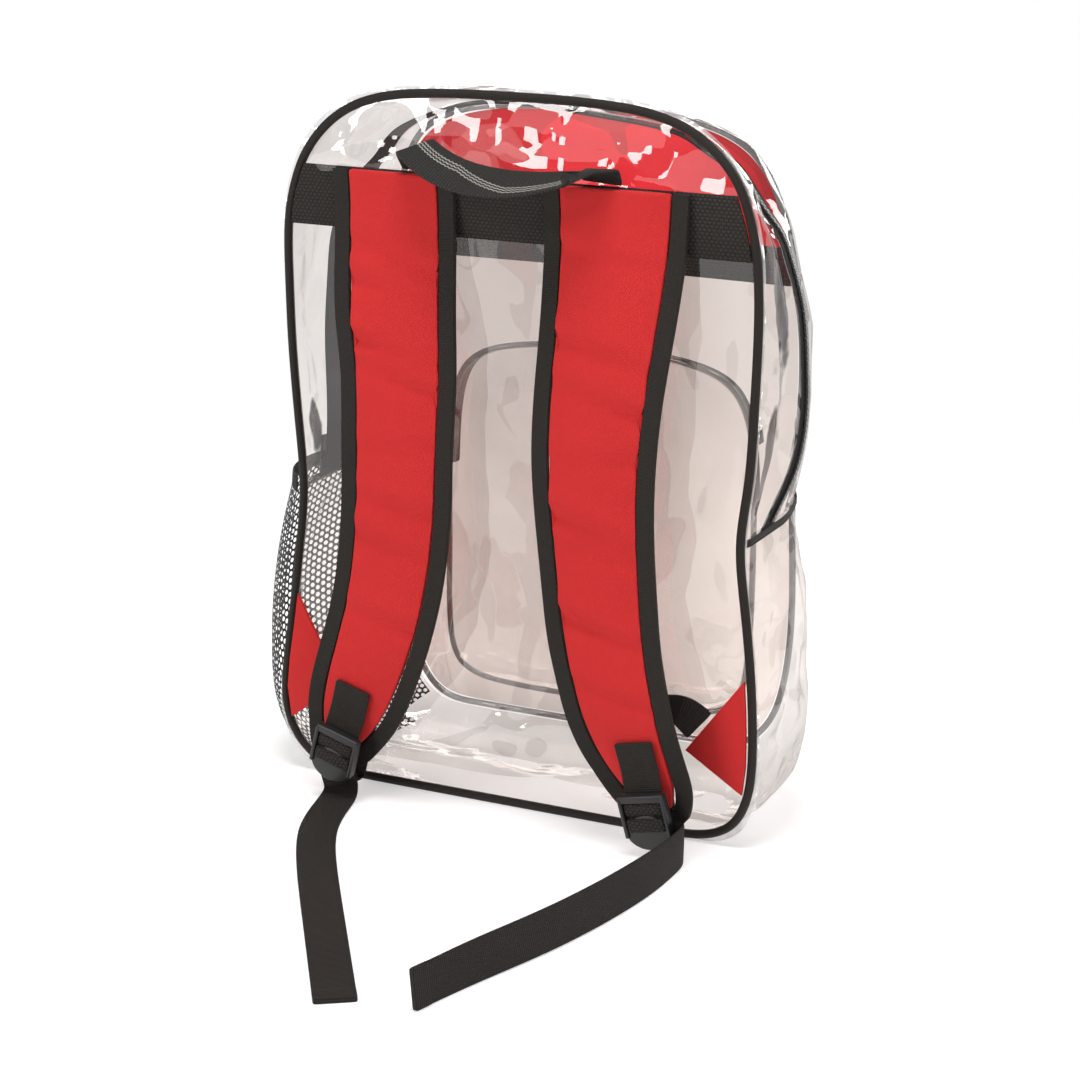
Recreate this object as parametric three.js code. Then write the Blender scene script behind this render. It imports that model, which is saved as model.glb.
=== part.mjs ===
import * as THREE from 'three';

// Clear stadium backpack, in millimetres. The straps are on the -Y side, the front pocket faces +Y,
// and the bag stands on the floor at z = 0. All is built with the back panel in the plane y = 0, and
// the group then moves it so that the origin is in the middle of the flat bottom.

// Bag body
const bagHeight = 454;
const backHalfWidth = 158;
const frontHalfWidth = 145;
const frontBottom = 20;
const frontDrop = 18;
const frontTop = bagHeight - frontDrop;
const bagDepth = 120;
const baseMiddle = 45;
const gussetSwell = 9;
const frontBelly = 7;
const clearWall = 1.2;
const fabricWall = 1.2;
const webWall = 1.6;
const gap = 0.3;

// Piping, seams and the main zip
const backPipingRadius = 2.65;
const frontPipingRadius = 2;
const zipWidth = 20;
const coilWidth = 5.5;
const coilHeight = 1.4;
const coilStop = 5;
const seamTapeWidth = 5;
const seamTapeWall = 1;
const sliderLength = 12;
const sliderWidth = 9;
const sliderHeight = 3.6;
const pullLength = 26;
const pullWidth = 7;
const pullWall = 1.4;

// Front yoke and front pocket
const yokeHeight = 80;
const yokeBottom = frontTop - yokeHeight;
const trimHeight = 25;
const pocketHalfWidth = 108;
const pocketBottom = 38;
const pocketTop = 275;
const pocketDepth = 20;
const pocketBelly = 4;
const pocketPipingRadius = 1.8;
const pocketZipWidth = 9;

// Side mesh pocket
const meshWall = 1;
const meshSwell = 27;
const elasticHeight = 12;

// Back band, shoulder straps and handle
const bandDrop = 49;
const bandTop = bagHeight - bandDrop;
const bandHeight = 38;
const padWidth = 78;
const padBow = 29;
const padEdge = 4;
const padCrown = 2.5;
const bindingWidth = 10.5;
const webbingWidth = 25;
const triangleWall = 2.4;
const triangleBottom = 36;
const triangleReach = 40;
const hemLength = 12;

// Ladder-lock buckle: bars and slots are listed from its top edge down
const buckleWidth = 31;
const buckleWall = 3;
const buckleRail = 2.4;
const topBar = 4.5;
const topSlot = 6.5;
const middleBar = 4;
const lowerSlot = 8;
const tabLength = 13.5;
const bucklePitch = 6;

// The perimeter from the bottom centre up one side. Heights are shares of the panels' heights, back
// right and left are shares of backHalfWidth, front of frontHalfWidth, depth of bagDepth and swell of
// gussetSwell. Level is the share of the depth over which the gusset runs straight forward.
const perimeter = [
  { up: 0, right: 0, left: 0, front: 0, depth: 0.95, swell: 0, level: 0.62 },
  { up: 0, right: 0.68, left: 0.68, front: 0.61, depth: 0.95, swell: 0, level: 0.62 },
  { up: 0.005, right: 0.84, left: 0.85, front: 0.745, depth: 0.955, swell: 0, level: 0.6 },
  { up: 0.023, right: 0.943, left: 0.962, front: 0.83, depth: 0.96, swell: 0.1, level: 0.5 },
  { up: 0.056, right: 1, left: 1.038, front: 0.9, depth: 0.97, swell: 0.3, level: 0.45 },
  { up: 0.1, right: 1.025, left: 1.073, front: 0.94, depth: 0.98, swell: 0.6, level: 0.45 },
  { up: 0.167, right: 1.027, left: 1.057, front: 0.966, depth: 0.99, swell: 0.8, level: 0.5 },
  { up: 0.249, right: 1.013, left: 1.019, front: 0.972, depth: 1, swell: 1, level: 0.5 },
  { up: 0.337, right: 0.984, left: 0.984, front: 0.966, depth: 1, swell: 0.8, level: 0.5 },
  { up: 0.426, right: 0.956, left: 0.956, front: 0.959, depth: 1, swell: 0, level: 0.5 },
  { up: 0.515, right: 0.99, left: 0.972, front: 0.979, depth: 1, swell: 0.7, level: 0.5 },
  { up: 0.625, right: 1.005, left: 0.994, front: 1, depth: 0.97, swell: 1, level: 0.5 },
  { up: 0.725, right: 1.013, left: 1, front: 0.988, depth: 0.94, swell: 0.6, level: 0.45 },
  { up: 0.81, right: 1.003, left: 0.997, front: 0.956, depth: 0.9, swell: 0.2, level: 0.35 },
  { up: 0.865, right: 0.968, left: 0.962, front: 0.92, depth: 0.87, swell: 0, level: 0.25 },
  { up: 0.908, right: 0.92, left: 0.908, front: 0.875, depth: 0.85, swell: 0, level: 0.15 },
  { up: 0.95, right: 0.816, left: 0.804, front: 0.793, depth: 0.83, swell: 0, level: 0.1 },
  { up: 0.979, right: 0.677, left: 0.665, front: 0.648, depth: 0.82, swell: -0.1, level: 0.05 },
  { up: 0.9955, right: 0.456, left: 0.456, front: 0.43, depth: 0.82, swell: -0.2, level: 0.05 },
  { up: 1, right: 0, left: 0, front: 0, depth: 0.82, swell: -0.2, level: 0.05 },
];
const topRow = perimeter.length - 1;
const rowCount = 2 * topRow;
const seamRow = 9;
const leftSeamRow = rowCount - seamRow;

// The main zip from the side seams up: row is the place on the perimeter, share its place between the
// back and the front, and dip how far the gusset sags inwards along it, as a share of gussetSwell
const zipRun = [
  { row: 9, share: 0.32, dip: 0 },
  { row: 10, share: 0.5, dip: 0 },
  { row: 11, share: 0.58, dip: 0.1 },
  { row: 12, share: 0.58, dip: 0.4 },
  { row: 13, share: 0.58, dip: 1 },
  { row: 14, share: 0.58, dip: 1.6 },
  { row: 15, share: 0.58, dip: 1.9 },
  { row: 16, share: 0.58, dip: 1.9 },
  { row: 17, share: 0.58, dip: 1.6 },
  { row: 18, share: 0.58, dip: 1.4 },
  { row: 19, share: 0.58, dip: 1.4 },
];

// Slack folds of the clear gusset: at is the place on the perimeter in rows, span its half width in
// rows, lean how far it slants from back to front, and rise a share of gussetSwell
const folds = [
  { at: 3.6, span: 0.5, lean: 0.6, rise: -0.3 },
  { at: 5.8, span: 0.45, lean: -0.7, rise: 0.35 },
  { at: 7.6, span: 0.4, lean: 0.5, rise: -0.35 },
  { at: 11.2, span: 0.5, lean: -0.6, rise: -0.3 },
  { at: 13.3, span: 0.45, lean: 0.5, rise: 0.3 },
  { at: 16.6, span: 0.5, lean: 0.6, rise: -0.35 },
  { at: 19.4, span: 0.7, lean: 0.5, rise: 0.8 },
  { at: 22.6, span: 0.5, lean: -0.5, rise: -0.3 },
  { at: 25.4, span: 0.5, lean: 0.6, rise: 0.3 },
  { at: 32.6, span: 0.5, lean: 0.4, rise: -0.3 },
];

// Half of the front pocket's outline from the bottom centre, as shares of its half width and height
const pocketOutline = [
  { across: 0, up: 0 },
  { across: 0.7, up: 0.004 },
  { across: 0.93, up: 0.04 },
  { across: 1, up: 0.14 },
  { across: 1.01, up: 0.37 },
  { across: 1.01, up: 0.62 },
  { across: 0.985, up: 0.8 },
  { across: 0.9, up: 0.91 },
  { across: 0.73, up: 0.963 },
  { across: 0.4, up: 0.99 },
  { across: 0, up: 1 },
];

// The shoulder straps: height as a share of bagHeight, centre lines as shares of backHalfWidth,
// widths as shares of padWidth, and bow away from the back panel as a share of padBow
const strapRows = [
  { up: 0.89, rightCentre: 0.443, rightWidth: 1.218, leftCentre: 0.504, leftWidth: 1.064, bow: 0 },
  { up: 0.855, rightCentre: 0.448, rightWidth: 1.19, leftCentre: 0.494, leftWidth: 1.066, bow: 0.03 },
  { up: 0.802, rightCentre: 0.452, rightWidth: 1.167, leftCentre: 0.483, leftWidth: 1.068, bow: 0.14 },
  { up: 0.705, rightCentre: 0.445, rightWidth: 1.108, leftCentre: 0.461, leftWidth: 1.075, bow: 0.44 },
  { up: 0.617, rightCentre: 0.427, rightWidth: 1.065, leftCentre: 0.428, leftWidth: 1.024, bow: 0.64 },
  { up: 0.529, rightCentre: 0.42, rightWidth: 1.036, leftCentre: 0.427, leftWidth: 0.992, bow: 0.77 },
  { up: 0.441, rightCentre: 0.43, rightWidth: 0.994, leftCentre: 0.431, leftWidth: 0.985, bow: 0.79 },
  { up: 0.352, rightCentre: 0.456, rightWidth: 0.973, leftCentre: 0.454, leftWidth: 0.973, bow: 0.83 },
  { up: 0.286, rightCentre: 0.481, rightWidth: 0.963, leftCentre: 0.487, leftWidth: 0.968, bow: 0.89 },
  { up: 0.22, rightCentre: 0.531, rightWidth: 0.945, leftCentre: 0.537, leftWidth: 0.967, bow: 0.98 },
  { up: 0.176, rightCentre: 0.568, rightWidth: 0.932, leftCentre: 0.578, leftWidth: 0.946, bow: 1 },
  { up: 0.132, rightCentre: 0.61, rightWidth: 0.895, leftCentre: 0.624, leftWidth: 0.881, bow: 0.9 },
  { up: 0.099, rightCentre: 0.649, rightWidth: 0.82, leftCentre: 0.658, leftWidth: 0.77, bow: 0.8 },
  { up: 0.066, rightCentre: 0.68, rightWidth: 0.67, leftCentre: 0.7, leftWidth: 0.61, bow: 0.72 },
  { up: 0.045, rightCentre: 0.7, rightWidth: 0.46, leftCentre: 0.715, leftWidth: 0.42, bow: 0.68 },
];

// What is different on the two sides: the buckle's place as shares of backHalfWidth and webbingWidth,
// its tilt in degrees, and the corner triangle's top as a share of bagHeight
const sides = [
  { name: 'left', sign: -1, buckleAcross: 0.66, buckleUp: 1.925, tilt: -17, triangleTop: 0.27 },
  { name: 'right', sign: 1, buckleAcross: 0.672, buckleUp: 1.671, tilt: 12, triangleTop: 0.243 },
];

// Tail routes from the buckle over the floor: across and forth are shares of backHalfWidth and of
// tailReach, up is a share of webbingWidth, swing turns the direction of the width about the upright
// and roll lifts it, from 0 flat on the floor to 90 standing on its edge
const tailReach = 300;
const tailRoutes = {
  left: [
    { across: -0.695, forth: 0.1055, up: 0.3, swing: 2, roll: -6 },
    { across: -0.685, forth: 0.122, up: 0.1, swing: 4, roll: 0 },
    { across: -0.67, forth: 0.16, up: 0.04, swing: 8, roll: 0 },
    { across: -0.61, forth: 0.293, up: 0.04, swing: 24, roll: 0 },
    { across: -0.43, forth: 0.453, up: 0.04, swing: 31, roll: 0 },
    { across: -0.21, forth: 0.627, up: 0.04, swing: 33, roll: 0 },
    { across: 0.01, forth: 0.8, up: 0.04, swing: 33.5, roll: 0 },
    { across: 0.2, forth: 0.95, up: 0.04, swing: 33.5, roll: 0 },
  ],
  right: [
    { across: 0.745, forth: 0.1065, up: 0.4, swing: -1, roll: 20 },
    { across: 0.815, forth: 0.109, up: 0.49, swing: -4, roll: 62 },
    { across: 0.835, forth: 0.112, up: 0.5, swing: 0, roll: 86 },
    { across: 0.852, forth: 0.14, up: 0.5, swing: 0, roll: 92 },
    { across: 0.848, forth: 0.21, up: 0.5, swing: 0, roll: 96 },
    { across: 0.838, forth: 0.3, up: 0.5, swing: -4, roll: 102 },
    { across: 0.785, forth: 0.467, up: 0.5, swing: -12, roll: 105 },
    { across: 0.7, forth: 0.637, up: 0.5, swing: -16, roll: 105 },
    { across: 0.6, forth: 0.78, up: 0.5, swing: -14, roll: 102 },
    { across: 0.53, forth: 0.91, up: 0.5, swing: -16, roll: 96 },
  ],
};

// Lower webbing below the buckle, back under the strap's tip, up behind it and to the corner
// triangle: across a share of backHalfWidth, off the distance from the back panel as a share of
// padBow, up a share of bagHeight, and turn the angle of its width to the floor in degrees
const lowerRoute = [
  { across: 0.708, off: 0.84, up: 0.02, turn: 4 },
  { across: 0.7, off: 0.7, up: 0.03, turn: 0 },
  { across: 0.67, off: 0.66, up: 0.08, turn: -6 },
  { across: 0.62, off: 0.56, up: 0.14, turn: -30 },
  { across: 0.65, off: 0.3, up: 0.187, turn: -75 },
  { across: 0.735, off: 0.13, up: 0.192, turn: -118 },
  { across: 0.812, off: 0.075, up: 0.169, turn: -128 },
];

// Grab handle, left to right: across a share of backHalfWidth, off the distance from the back panel
// and up the height over the band's top edge in shares of webbingWidth; swing and droop turn its width
const handleRoute = [
  { across: -0.39, off: 0.075, up: 0.08, swing: 180, droop: 0 },
  { across: -0.395, off: 0.24, up: 0.5, swing: 158, droop: 6 },
  { across: -0.37, off: 0.62, up: 0.72, swing: 124, droop: 17 },
  { across: -0.28, off: 0.95, up: 0.42, swing: 112, droop: 36 },
  { across: -0.15, off: 1.05, up: 0.12, swing: 96, droop: 38 },
  { across: 0.0, off: 1.08, up: 0.02, swing: 88, droop: 34 },
  { across: 0.15, off: 1.02, up: 0.06, swing: 98, droop: 26 },
  { across: 0.28, off: 0.86, up: 0.22, swing: 116, droop: 18 },
  { across: 0.37, off: 0.5, up: 0.42, swing: 145, droop: 8 },
  { across: 0.385, off: 0.24, up: 0.34, swing: 170, droop: 2 },
  { across: 0.38, off: 0.075, up: 0.08, swing: 180, droop: 0 },
];

const clearLook = { color: 0xe9edf0, roughness: 0.12, metalness: 0, transparent: true, opacity: 0.35 };
const smokeLook = { color: 0x8f9094, roughness: 0.2, metalness: 0, transparent: true, opacity: 0.6 };
const blackWebLook = { color: 0x1d1b1a, roughness: 0.85, metalness: 0 };
const redLook = { color: 0xc9242c, roughness: 0.8, metalness: 0 };
const plasticLook = { color: 0x1b1a1a, roughness: 0.4, metalness: 0 };
const meshLook = { color: 0x232222, roughness: 0.8, metalness: 0 };

const bag = new THREE.Group();
bag.position.set(0, -baseMiddle, 0);

// Helpers for closed solids

function addMesh(name, geometry, look) {
  const mesh = new THREE.Mesh(geometry, new THREE.MeshStandardMaterial(look));
  mesh.name = name;
  bag.add(mesh);
  return mesh;
}

function toRadians(degrees) {
  return THREE.MathUtils.degToRad(degrees);
}

// A closed body from points and triangles, turned so that its faces point out
function closedBody(points, triangles) {
  let volume = 0;
  for (const [a, b, c] of triangles) {
    volume += points[a].dot(new THREE.Vector3().crossVectors(points[b], points[c]));
  }
  const index = [];
  for (const [a, b, c] of triangles) {
    index.push(a, volume > 0 ? b : c, volume > 0 ? c : b);
  }
  const geometry = new THREE.BufferGeometry().setFromPoints(points);
  geometry.setIndex(index);
  geometry.computeVertexNormals();
  return geometry;
}

// The surface normal at each point of a grid, from its neighbours
function gridNormals(grid, wraps) {
  const rows = grid.length;
  const columns = grid[0].length;
  return grid.map((row, i) => row.map((point, j) => {
    const along = new THREE.Vector3().subVectors(
      grid[Math.min(i + 1, rows - 1)][j],
      grid[Math.max(i - 1, 0)][j],
    );
    const next = wraps ? (j + 1) % columns : Math.min(j + 1, columns - 1);
    const last = wraps ? (j + columns - 1) % columns : Math.max(j - 1, 0);
    const across = new THREE.Vector3().subVectors(row[next], row[last]);
    return along.cross(across).normalize();
  }));
}

// A wall of even thickness behind a grid of points on its outer face. The way that faces out is
// given by a point inside. With wraps the rows are closed loops, with pole the last row is capped.
function wallFromGrid(grid, thickness, inside, wraps = false, pole = false) {
  const rows = grid.length;
  const columns = grid[0].length;
  const normals = gridNormals(grid, wraps);
  const middleRow = Math.floor(rows / 2);
  const middleColumn = Math.floor(columns / 2);
  const outwards = new THREE.Vector3().subVectors(grid[middleRow][middleColumn], inside);
  const turn = normals[middleRow][middleColumn].dot(outwards) > 0 ? -1 : 1;
  const points = grid.flat().map((point) => point.clone());
  grid.forEach((row, i) => row.forEach((point, j) => {
    points.push(point.clone().addScaledVector(normals[i][j], turn * thickness));
  }));
  const layer = rows * columns;
  const triangles = [];
  const quad = (a, b, c, d) => triangles.push([a, b, c], [a, c, d]);
  const spans = wraps ? columns : columns - 1;
  for (let i = 0; i < rows - 1; i += 1) {
    for (let j = 0; j < spans; j += 1) {
      const a = i * columns + j;
      const b = i * columns + (j + 1) % columns;
      const c = b + columns;
      const d = a + columns;
      quad(a, b, c, d);
      quad(layer + d, layer + c, layer + b, layer + a);
    }
  }
  const rim = (list) => {
    for (let n = 0; n < list.length - 1; n += 1) {
      quad(list[n + 1], list[n], layer + list[n], layer + list[n + 1]);
    }
  };
  const rowIndex = (i) => [...Array(columns).keys()].map((j) => i * columns + j);
  const columnIndex = (j) => [...Array(rows).keys()].map((i) => i * columns + j);
  if (wraps) {
    rim([...rowIndex(0), 0]);
  } else {
    rim(rowIndex(0));
    rim(columnIndex(columns - 1));
    rim(rowIndex(rows - 1).reverse());
    rim(columnIndex(0).reverse());
  }
  if (pole) {
    for (const offset of [0, layer]) {
      const ring = rowIndex(rows - 1).map((n) => n + offset);
      const centre = new THREE.Vector3();
      ring.forEach((n) => centre.addScaledVector(points[n], 1 / columns));
      const tip = points.push(centre) - 1;
      ring.forEach((n, j) => {
        const next = ring[(j + 1) % columns];
        triangles.push(offset ? [next, n, tip] : [n, next, tip]);
      });
    }
  }
  return closedBody(points, triangles);
}

// A bar of any section swept along rows of corner points
function barFromRings(rings, closed = false) {
  const corners = rings[0].length;
  const points = rings.flat();
  const triangles = [];
  const spans = closed ? rings.length : rings.length - 1;
  for (let i = 0; i < spans; i += 1) {
    const here = i * corners;
    const there = ((i + 1) % rings.length) * corners;
    for (let j = 0; j < corners; j += 1) {
      const next = (j + 1) % corners;
      triangles.push([here + j, here + next, there + next], [here + j, there + next, there + j]);
    }
  }
  if (!closed) {
    const last = (rings.length - 1) * corners;
    for (let j = 1; j < corners - 1; j += 1) {
      triangles.push([0, j + 1, j], [last, last + j, last + j + 1]);
    }
  }
  return closedBody(points, triangles);
}

function tangents(points, closed) {
  return points.map((point, i) => {
    const count = points.length;
    const next = closed ? points[(i + 1) % count] : points[Math.min(i + 1, count - 1)];
    const last = closed ? points[(i + count - 1) % count] : points[Math.max(i - 1, 0)];
    return new THREE.Vector3().subVectors(next, last).normalize();
  });
}

// A round cord along a closed line that lies near the plane y = constant
function pipingAlong(points, radius, sidesRound) {
  const forward = new THREE.Vector3(0, 1, 0);
  const lines = tangents(points, true);
  const rings = points.map((point, i) => {
    const out = new THREE.Vector3().crossVectors(forward, lines[i]).normalize();
    const up = new THREE.Vector3().crossVectors(lines[i], out).normalize();
    return [...Array(sidesRound).keys()].map((n) => {
      const angle = (n / sidesRound) * 2 * Math.PI;
      return point.clone()
        .addScaledVector(out, radius * Math.cos(angle))
        .addScaledVector(up, radius * Math.sin(angle));
    });
  });
  return barFromRings(rings, true);
}

// Webbing through points, each with the direction of its width and a share of its thickness
function webbingAlong(stations, width, thickness) {
  const lines = tangents(stations.map((station) => station.point), false);
  const rings = stations.map(({ point, across, folded = 1 }, i) => {
    const side = across.clone().addScaledVector(lines[i], -across.dot(lines[i])).normalize();
    const face = new THREE.Vector3().crossVectors(lines[i], side).normalize();
    const corner = (s, f) => point.clone()
      .addScaledVector(side, s * width / 2)
      .addScaledVector(face, f * thickness * folded / 2);
    return [corner(-1, -1), corner(1, -1), corner(1, 1), corner(-1, 1)];
  });
  return barFromRings(rings);
}

function smoothLine(points, steps, closed = false) {
  return new THREE.CatmullRomCurve3(points, closed, 'centripetal').getPoints(steps);
}

function mix(a, b, share) {
  return a + (b - a) * share;
}

// The bag's shape

function perimeterRow(place) {
  const turned = ((place % rowCount) + rowCount) % rowCount;
  return turned <= topRow ? turned : rowCount - turned;
}

function perimeterValue(place, column) {
  const row = perimeterRow(place);
  const low = Math.min(Math.floor(row), topRow - 1);
  return mix(perimeter[low][column], perimeter[low + 1][column], row - low);
}

function zipValue(place, column) {
  const along = Math.max(0, perimeterRow(place) - zipRun[0].row);
  const low = Math.min(Math.floor(along), zipRun.length - 2);
  return mix(zipRun[low][column], zipRun[low + 1][column], along - low);
}

const backControls = [];
const frontControls = [];
for (let place = 0; place < rowCount; place += 1) {
  const row = perimeter[perimeterRow(place)];
  const onRight = place <= topRow;
  const backShare = onRight ? row.right : -row.left;
  const frontShare = onRight ? row.front : -row.front;
  backControls.push(new THREE.Vector3(
    backShare * backHalfWidth,
    0,
    mix(backPipingRadius, bagHeight, row.up),
  ));
  frontControls.push(new THREE.Vector3(
    frontShare * frontHalfWidth,
    row.depth * bagDepth,
    mix(frontBottom, frontTop, row.up),
  ));
}
const backCurve = new THREE.CatmullRomCurve3(backControls, true, 'centripetal');
const frontCurve = new THREE.CatmullRomCurve3(frontControls, true, 'centripetal');

function curvePlace(curve, place, lowest) {
  const turned = ((place % rowCount) + rowCount) % rowCount;
  const point = curve.getPoint(turned / rowCount);
  point.z = Math.max(point.z, lowest);
  return point;
}

function backPoint(place) {
  return curvePlace(backCurve, place, backPipingRadius);
}

function frontPoint(place) {
  return curvePlace(frontCurve, place, frontBottom);
}

// The direction in the panel's plane that points out of the bag, at a place on an outline
function outwardAt(pointAt, place) {
  const step = 0.05;
  const line = new THREE.Vector3().subVectors(pointAt(place + step), pointAt(place - step));
  return new THREE.Vector3(line.z, 0, -line.x).normalize();
}

function foldAt(place, share) {
  let rise = 0;
  for (const fold of folds) {
    const away = (place - fold.at - fold.lean * (share - 0.5)) / fold.span;
    rise += fold.rise * Math.exp(-away * away);
  }
  return rise * gussetSwell * Math.sin(Math.PI * share);
}

// A point of the gusset's outer face: share 0 is the back outline and 1 the front outline
function gussetPoint(place, share, lift = 0) {
  const back = backPoint(place);
  const front = frontPoint(place);
  const level = perimeterValue(place, 'level');
  const turn = Math.max(0, (share - level) / (1 - level)) ** 1.6;
  const flush = backPipingRadius * Math.min(1, share / 0.06, (1 - share) / 0.06);
  const swell = perimeterValue(place, 'swell') * gussetSwell * Math.sin(Math.PI * share);
  const flatBottom = perimeterRow(place) <= 1;
  const dip = zipValue(place, 'dip') * gussetSwell * Math.sin(Math.PI * share) ** 2;
  const out = flush + swell - dip + (flatBottom ? 0 : foldAt(place, share)) + lift;
  const point = new THREE.Vector3(
    mix(back.x, front.x, turn),
    front.y * share,
    mix(back.z, front.z, turn),
  );
  return point.addScaledVector(outwardAt(backPoint, place), out);
}

function shareOfDepth(place, distance) {
  return distance / frontPoint(place).y;
}

function gussetRear(place) {
  return shareOfDepth(place, backPipingRadius + gap);
}

function gussetFront(place) {
  return 1 - shareOfDepth(place, frontPipingRadius + gap);
}

function zipEdge(place, side, extra = 0) {
  return zipValue(place, 'share') + side * shareOfDepth(place, zipWidth / 2 + extra);
}

function gussetGrid(places, shares, lift = 0) {
  return places.map((place) => shares(place).map((share) => gussetPoint(place, share, lift)));
}

function spread(start, end, steps) {
  return [...Array(steps + 1).keys()].map((n) => mix(start, end, n / steps));
}

const bagCentre = new THREE.Vector3(0, bagDepth / 2, bagHeight / 2);

// Places per millimetre of the perimeter, for short lengths along it
function placesFor(place, length) {
  const step = 0.1;
  return length * step / backPoint(place).distanceTo(backPoint(place + step));
}

// Back panel with its piping

function outlinePoints(pointAt, count, inset) {
  return spread(0, rowCount, count).slice(0, count).map((place) => (
    pointAt(place).addScaledVector(outwardAt(pointAt, place), -inset)
  ));
}

function flatPlate(points, wall) {
  const shape = new THREE.Shape(points.map((point) => new THREE.Vector2(point.x, point.z)));
  const plate = new THREE.ExtrudeGeometry(shape, { depth: wall, bevelEnabled: false });
  plate.rotateX(Math.PI / 2);
  return plate;
}

function buildBackPanel() {
  const edge = outlinePoints(backPoint, 2 * rowCount, backPipingRadius + gap);
  const panel = addMesh('back_panel', flatPlate(edge, clearWall), clearLook);
  panel.position.y = clearWall / 2;
  const cord = outlinePoints(backPoint, 2 * rowCount, 0);
  addMesh('back_piping', pipingAlong(cord, backPipingRadius, 6), blackWebLook);
}

// Gusset, main zip and seams

function buildGusset() {
  const seamGap = placesFor(seamRow, gap / 2);
  const lowerPlaces = spread(-seamRow + seamGap, seamRow - seamGap, 36);
  const lowerShares = (place) => {
    const rear = gussetRear(place);
    const front = gussetFront(place);
    return [rear, 0.07, 0.3, 0.5, 0.62, 0.76, 0.88, front];
  };
  const lower = wallFromGrid(gussetGrid(lowerPlaces, lowerShares), clearWall, bagCentre);
  addMesh('lower_gusset', lower, clearLook);

  const upperPlaces = spread(seamRow + seamGap, leftSeamRow - seamGap, 46);
  const rearShares = (place) => {
    const edge = zipEdge(place, -1, gap);
    return [gussetRear(place), 0.07, mix(0.07, edge, 0.35), mix(0.07, edge, 0.7), edge];
  };
  const rear = wallFromGrid(gussetGrid(upperPlaces, rearShares), clearWall, bagCentre);
  addMesh('zip_gusset_rear', rear, clearLook);

  const frontShares = (place) => {
    const edge = zipEdge(place, 1, gap);
    const front = gussetFront(place);
    return [edge, mix(edge, front, 0.35), mix(edge, front, 0.7), front];
  };
  const front = wallFromGrid(gussetGrid(upperPlaces, frontShares), clearWall, bagCentre);
  addMesh('zip_gusset_front', front, clearLook);

  const tapeShares = (place) => [
    zipEdge(place, -1), zipValue(place, 'share'), zipEdge(place, 1),
  ];
  const tape = wallFromGrid(gussetGrid(upperPlaces, tapeShares), fabricWall, bagCentre);
  addMesh('zip_tape', tape, blackWebLook);

  const stop = placesFor(seamRow, coilStop);
  const coilPlaces = [seamRow + stop, ...upperPlaces.slice(1, -1), leftSeamRow - stop];
  const coilShares = (place) => {
    const middle = zipValue(place, 'share');
    const half = shareOfDepth(place, coilWidth / 2);
    return [middle - half, middle + half];
  };
  const lift = 2 * gap + coilHeight;
  const coil = wallFromGrid(gussetGrid(coilPlaces, coilShares, lift), coilHeight, bagCentre);
  addMesh('zip_coil', coil, plasticLook);
}

function buildSeamTape(name, row) {
  const half = placesFor(row, seamTapeWidth / 2);
  const shares = (place) => [
    gussetRear(place), 0.07, 0.22, 0.36, 0.5, 0.58, 0.66, 0.76, 0.88, gussetFront(place),
  ];
  const grid = gussetGrid([row - half, row, row + half], shares, 2 * gap + seamTapeWall);
  addMesh(name, wallFromGrid(grid, seamTapeWall, bagCentre), blackWebLook);
}

// A frame over the zip: along it, towards the front, and out
function zipFrame(place, lift) {
  const step = 0.1;
  const share = zipValue(place, 'share');
  const origin = gussetPoint(place, share, lift);
  const along = new THREE.Vector3()
    .subVectors(gussetPoint(place + step, zipValue(place + step, 'share'), lift), origin).normalize();
  const forward = new THREE.Vector3()
    .subVectors(gussetPoint(place, share + 0.05, lift), origin);
  const out = new THREE.Vector3().crossVectors(forward, along).normalize();
  const square = new THREE.Vector3().crossVectors(out, along).normalize();
  return new THREE.Matrix4().makeBasis(along, square, out).setPosition(origin);
}

function buildZipPull() {
  const place = leftSeamRow - placesFor(leftSeamRow, coilStop + sliderLength);
  const clearOfCoil = 3 * gap + coilHeight + sliderHeight / 2;
  const frame = zipFrame(place, clearOfCoil);
  const slider = new THREE.BoxGeometry(sliderLength, sliderWidth, sliderHeight);
  addMesh('zip_slider', slider.applyMatrix4(frame), plasticLook);
  const pull = new THREE.BoxGeometry(pullLength, pullWidth, pullWall);
  pull.translate(pullLength / 2 - sliderLength / 2, 0, sliderHeight / 2 + gap + pullWall / 2);
  addMesh('zip_pull', pull.applyMatrix4(frame), plasticLook);
}

// Front panel, yoke, trim and piping

function frontDepthAt(height) {
  const up = THREE.MathUtils.clamp((height - frontBottom) / (frontTop - frontBottom), 0, 1);
  let low = 1;
  while (low < topRow - 1 && perimeter[low + 1].up < up) {
    low += 1;
  }
  const from = perimeter[low];
  const to = perimeter[low + 1];
  return bagDepth * mix(from.depth, to.depth, (up - from.up) / (to.up - from.up));
}

// How far forward the outer face of the front panel lies at a place of it
function frontFaceAt(across, height) {
  const up = THREE.MathUtils.clamp((height - frontBottom) / (frontTop - frontBottom), 0, 1);
  const side = 1 - Math.min(1, Math.abs(across) / frontHalfWidth) ** 2;
  return frontDepthAt(height) + frontBelly * side * Math.sin(Math.PI * up);
}

function frontRow(place, steps, lift) {
  const inset = frontPipingRadius + gap;
  const right = frontPoint(place).addScaledVector(outwardAt(frontPoint, place), -inset);
  const left = frontPoint(-place).addScaledVector(outwardAt(frontPoint, -place), -inset);
  const rise = place >= topRow - 1 ? frontTop - inset - right.z : 0;
  return spread(-1, 1, steps).map((share) => {
    const across = mix(left.x, right.x, (share + 1) / 2);
    const height = mix(left.z, right.z, (share + 1) / 2) + rise * (1 - share * share);
    return new THREE.Vector3(across, frontFaceAt(across, height) + lift, height);
  });
}

function frontPlaceAt(height) {
  let low = 1;
  while (low < topRow - 1 && frontPoint(low + 1).z < height) {
    low += 1;
  }
  const from = frontPoint(low).z;
  return low + (height - from) / (frontPoint(low + 1).z - from);
}

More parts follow.
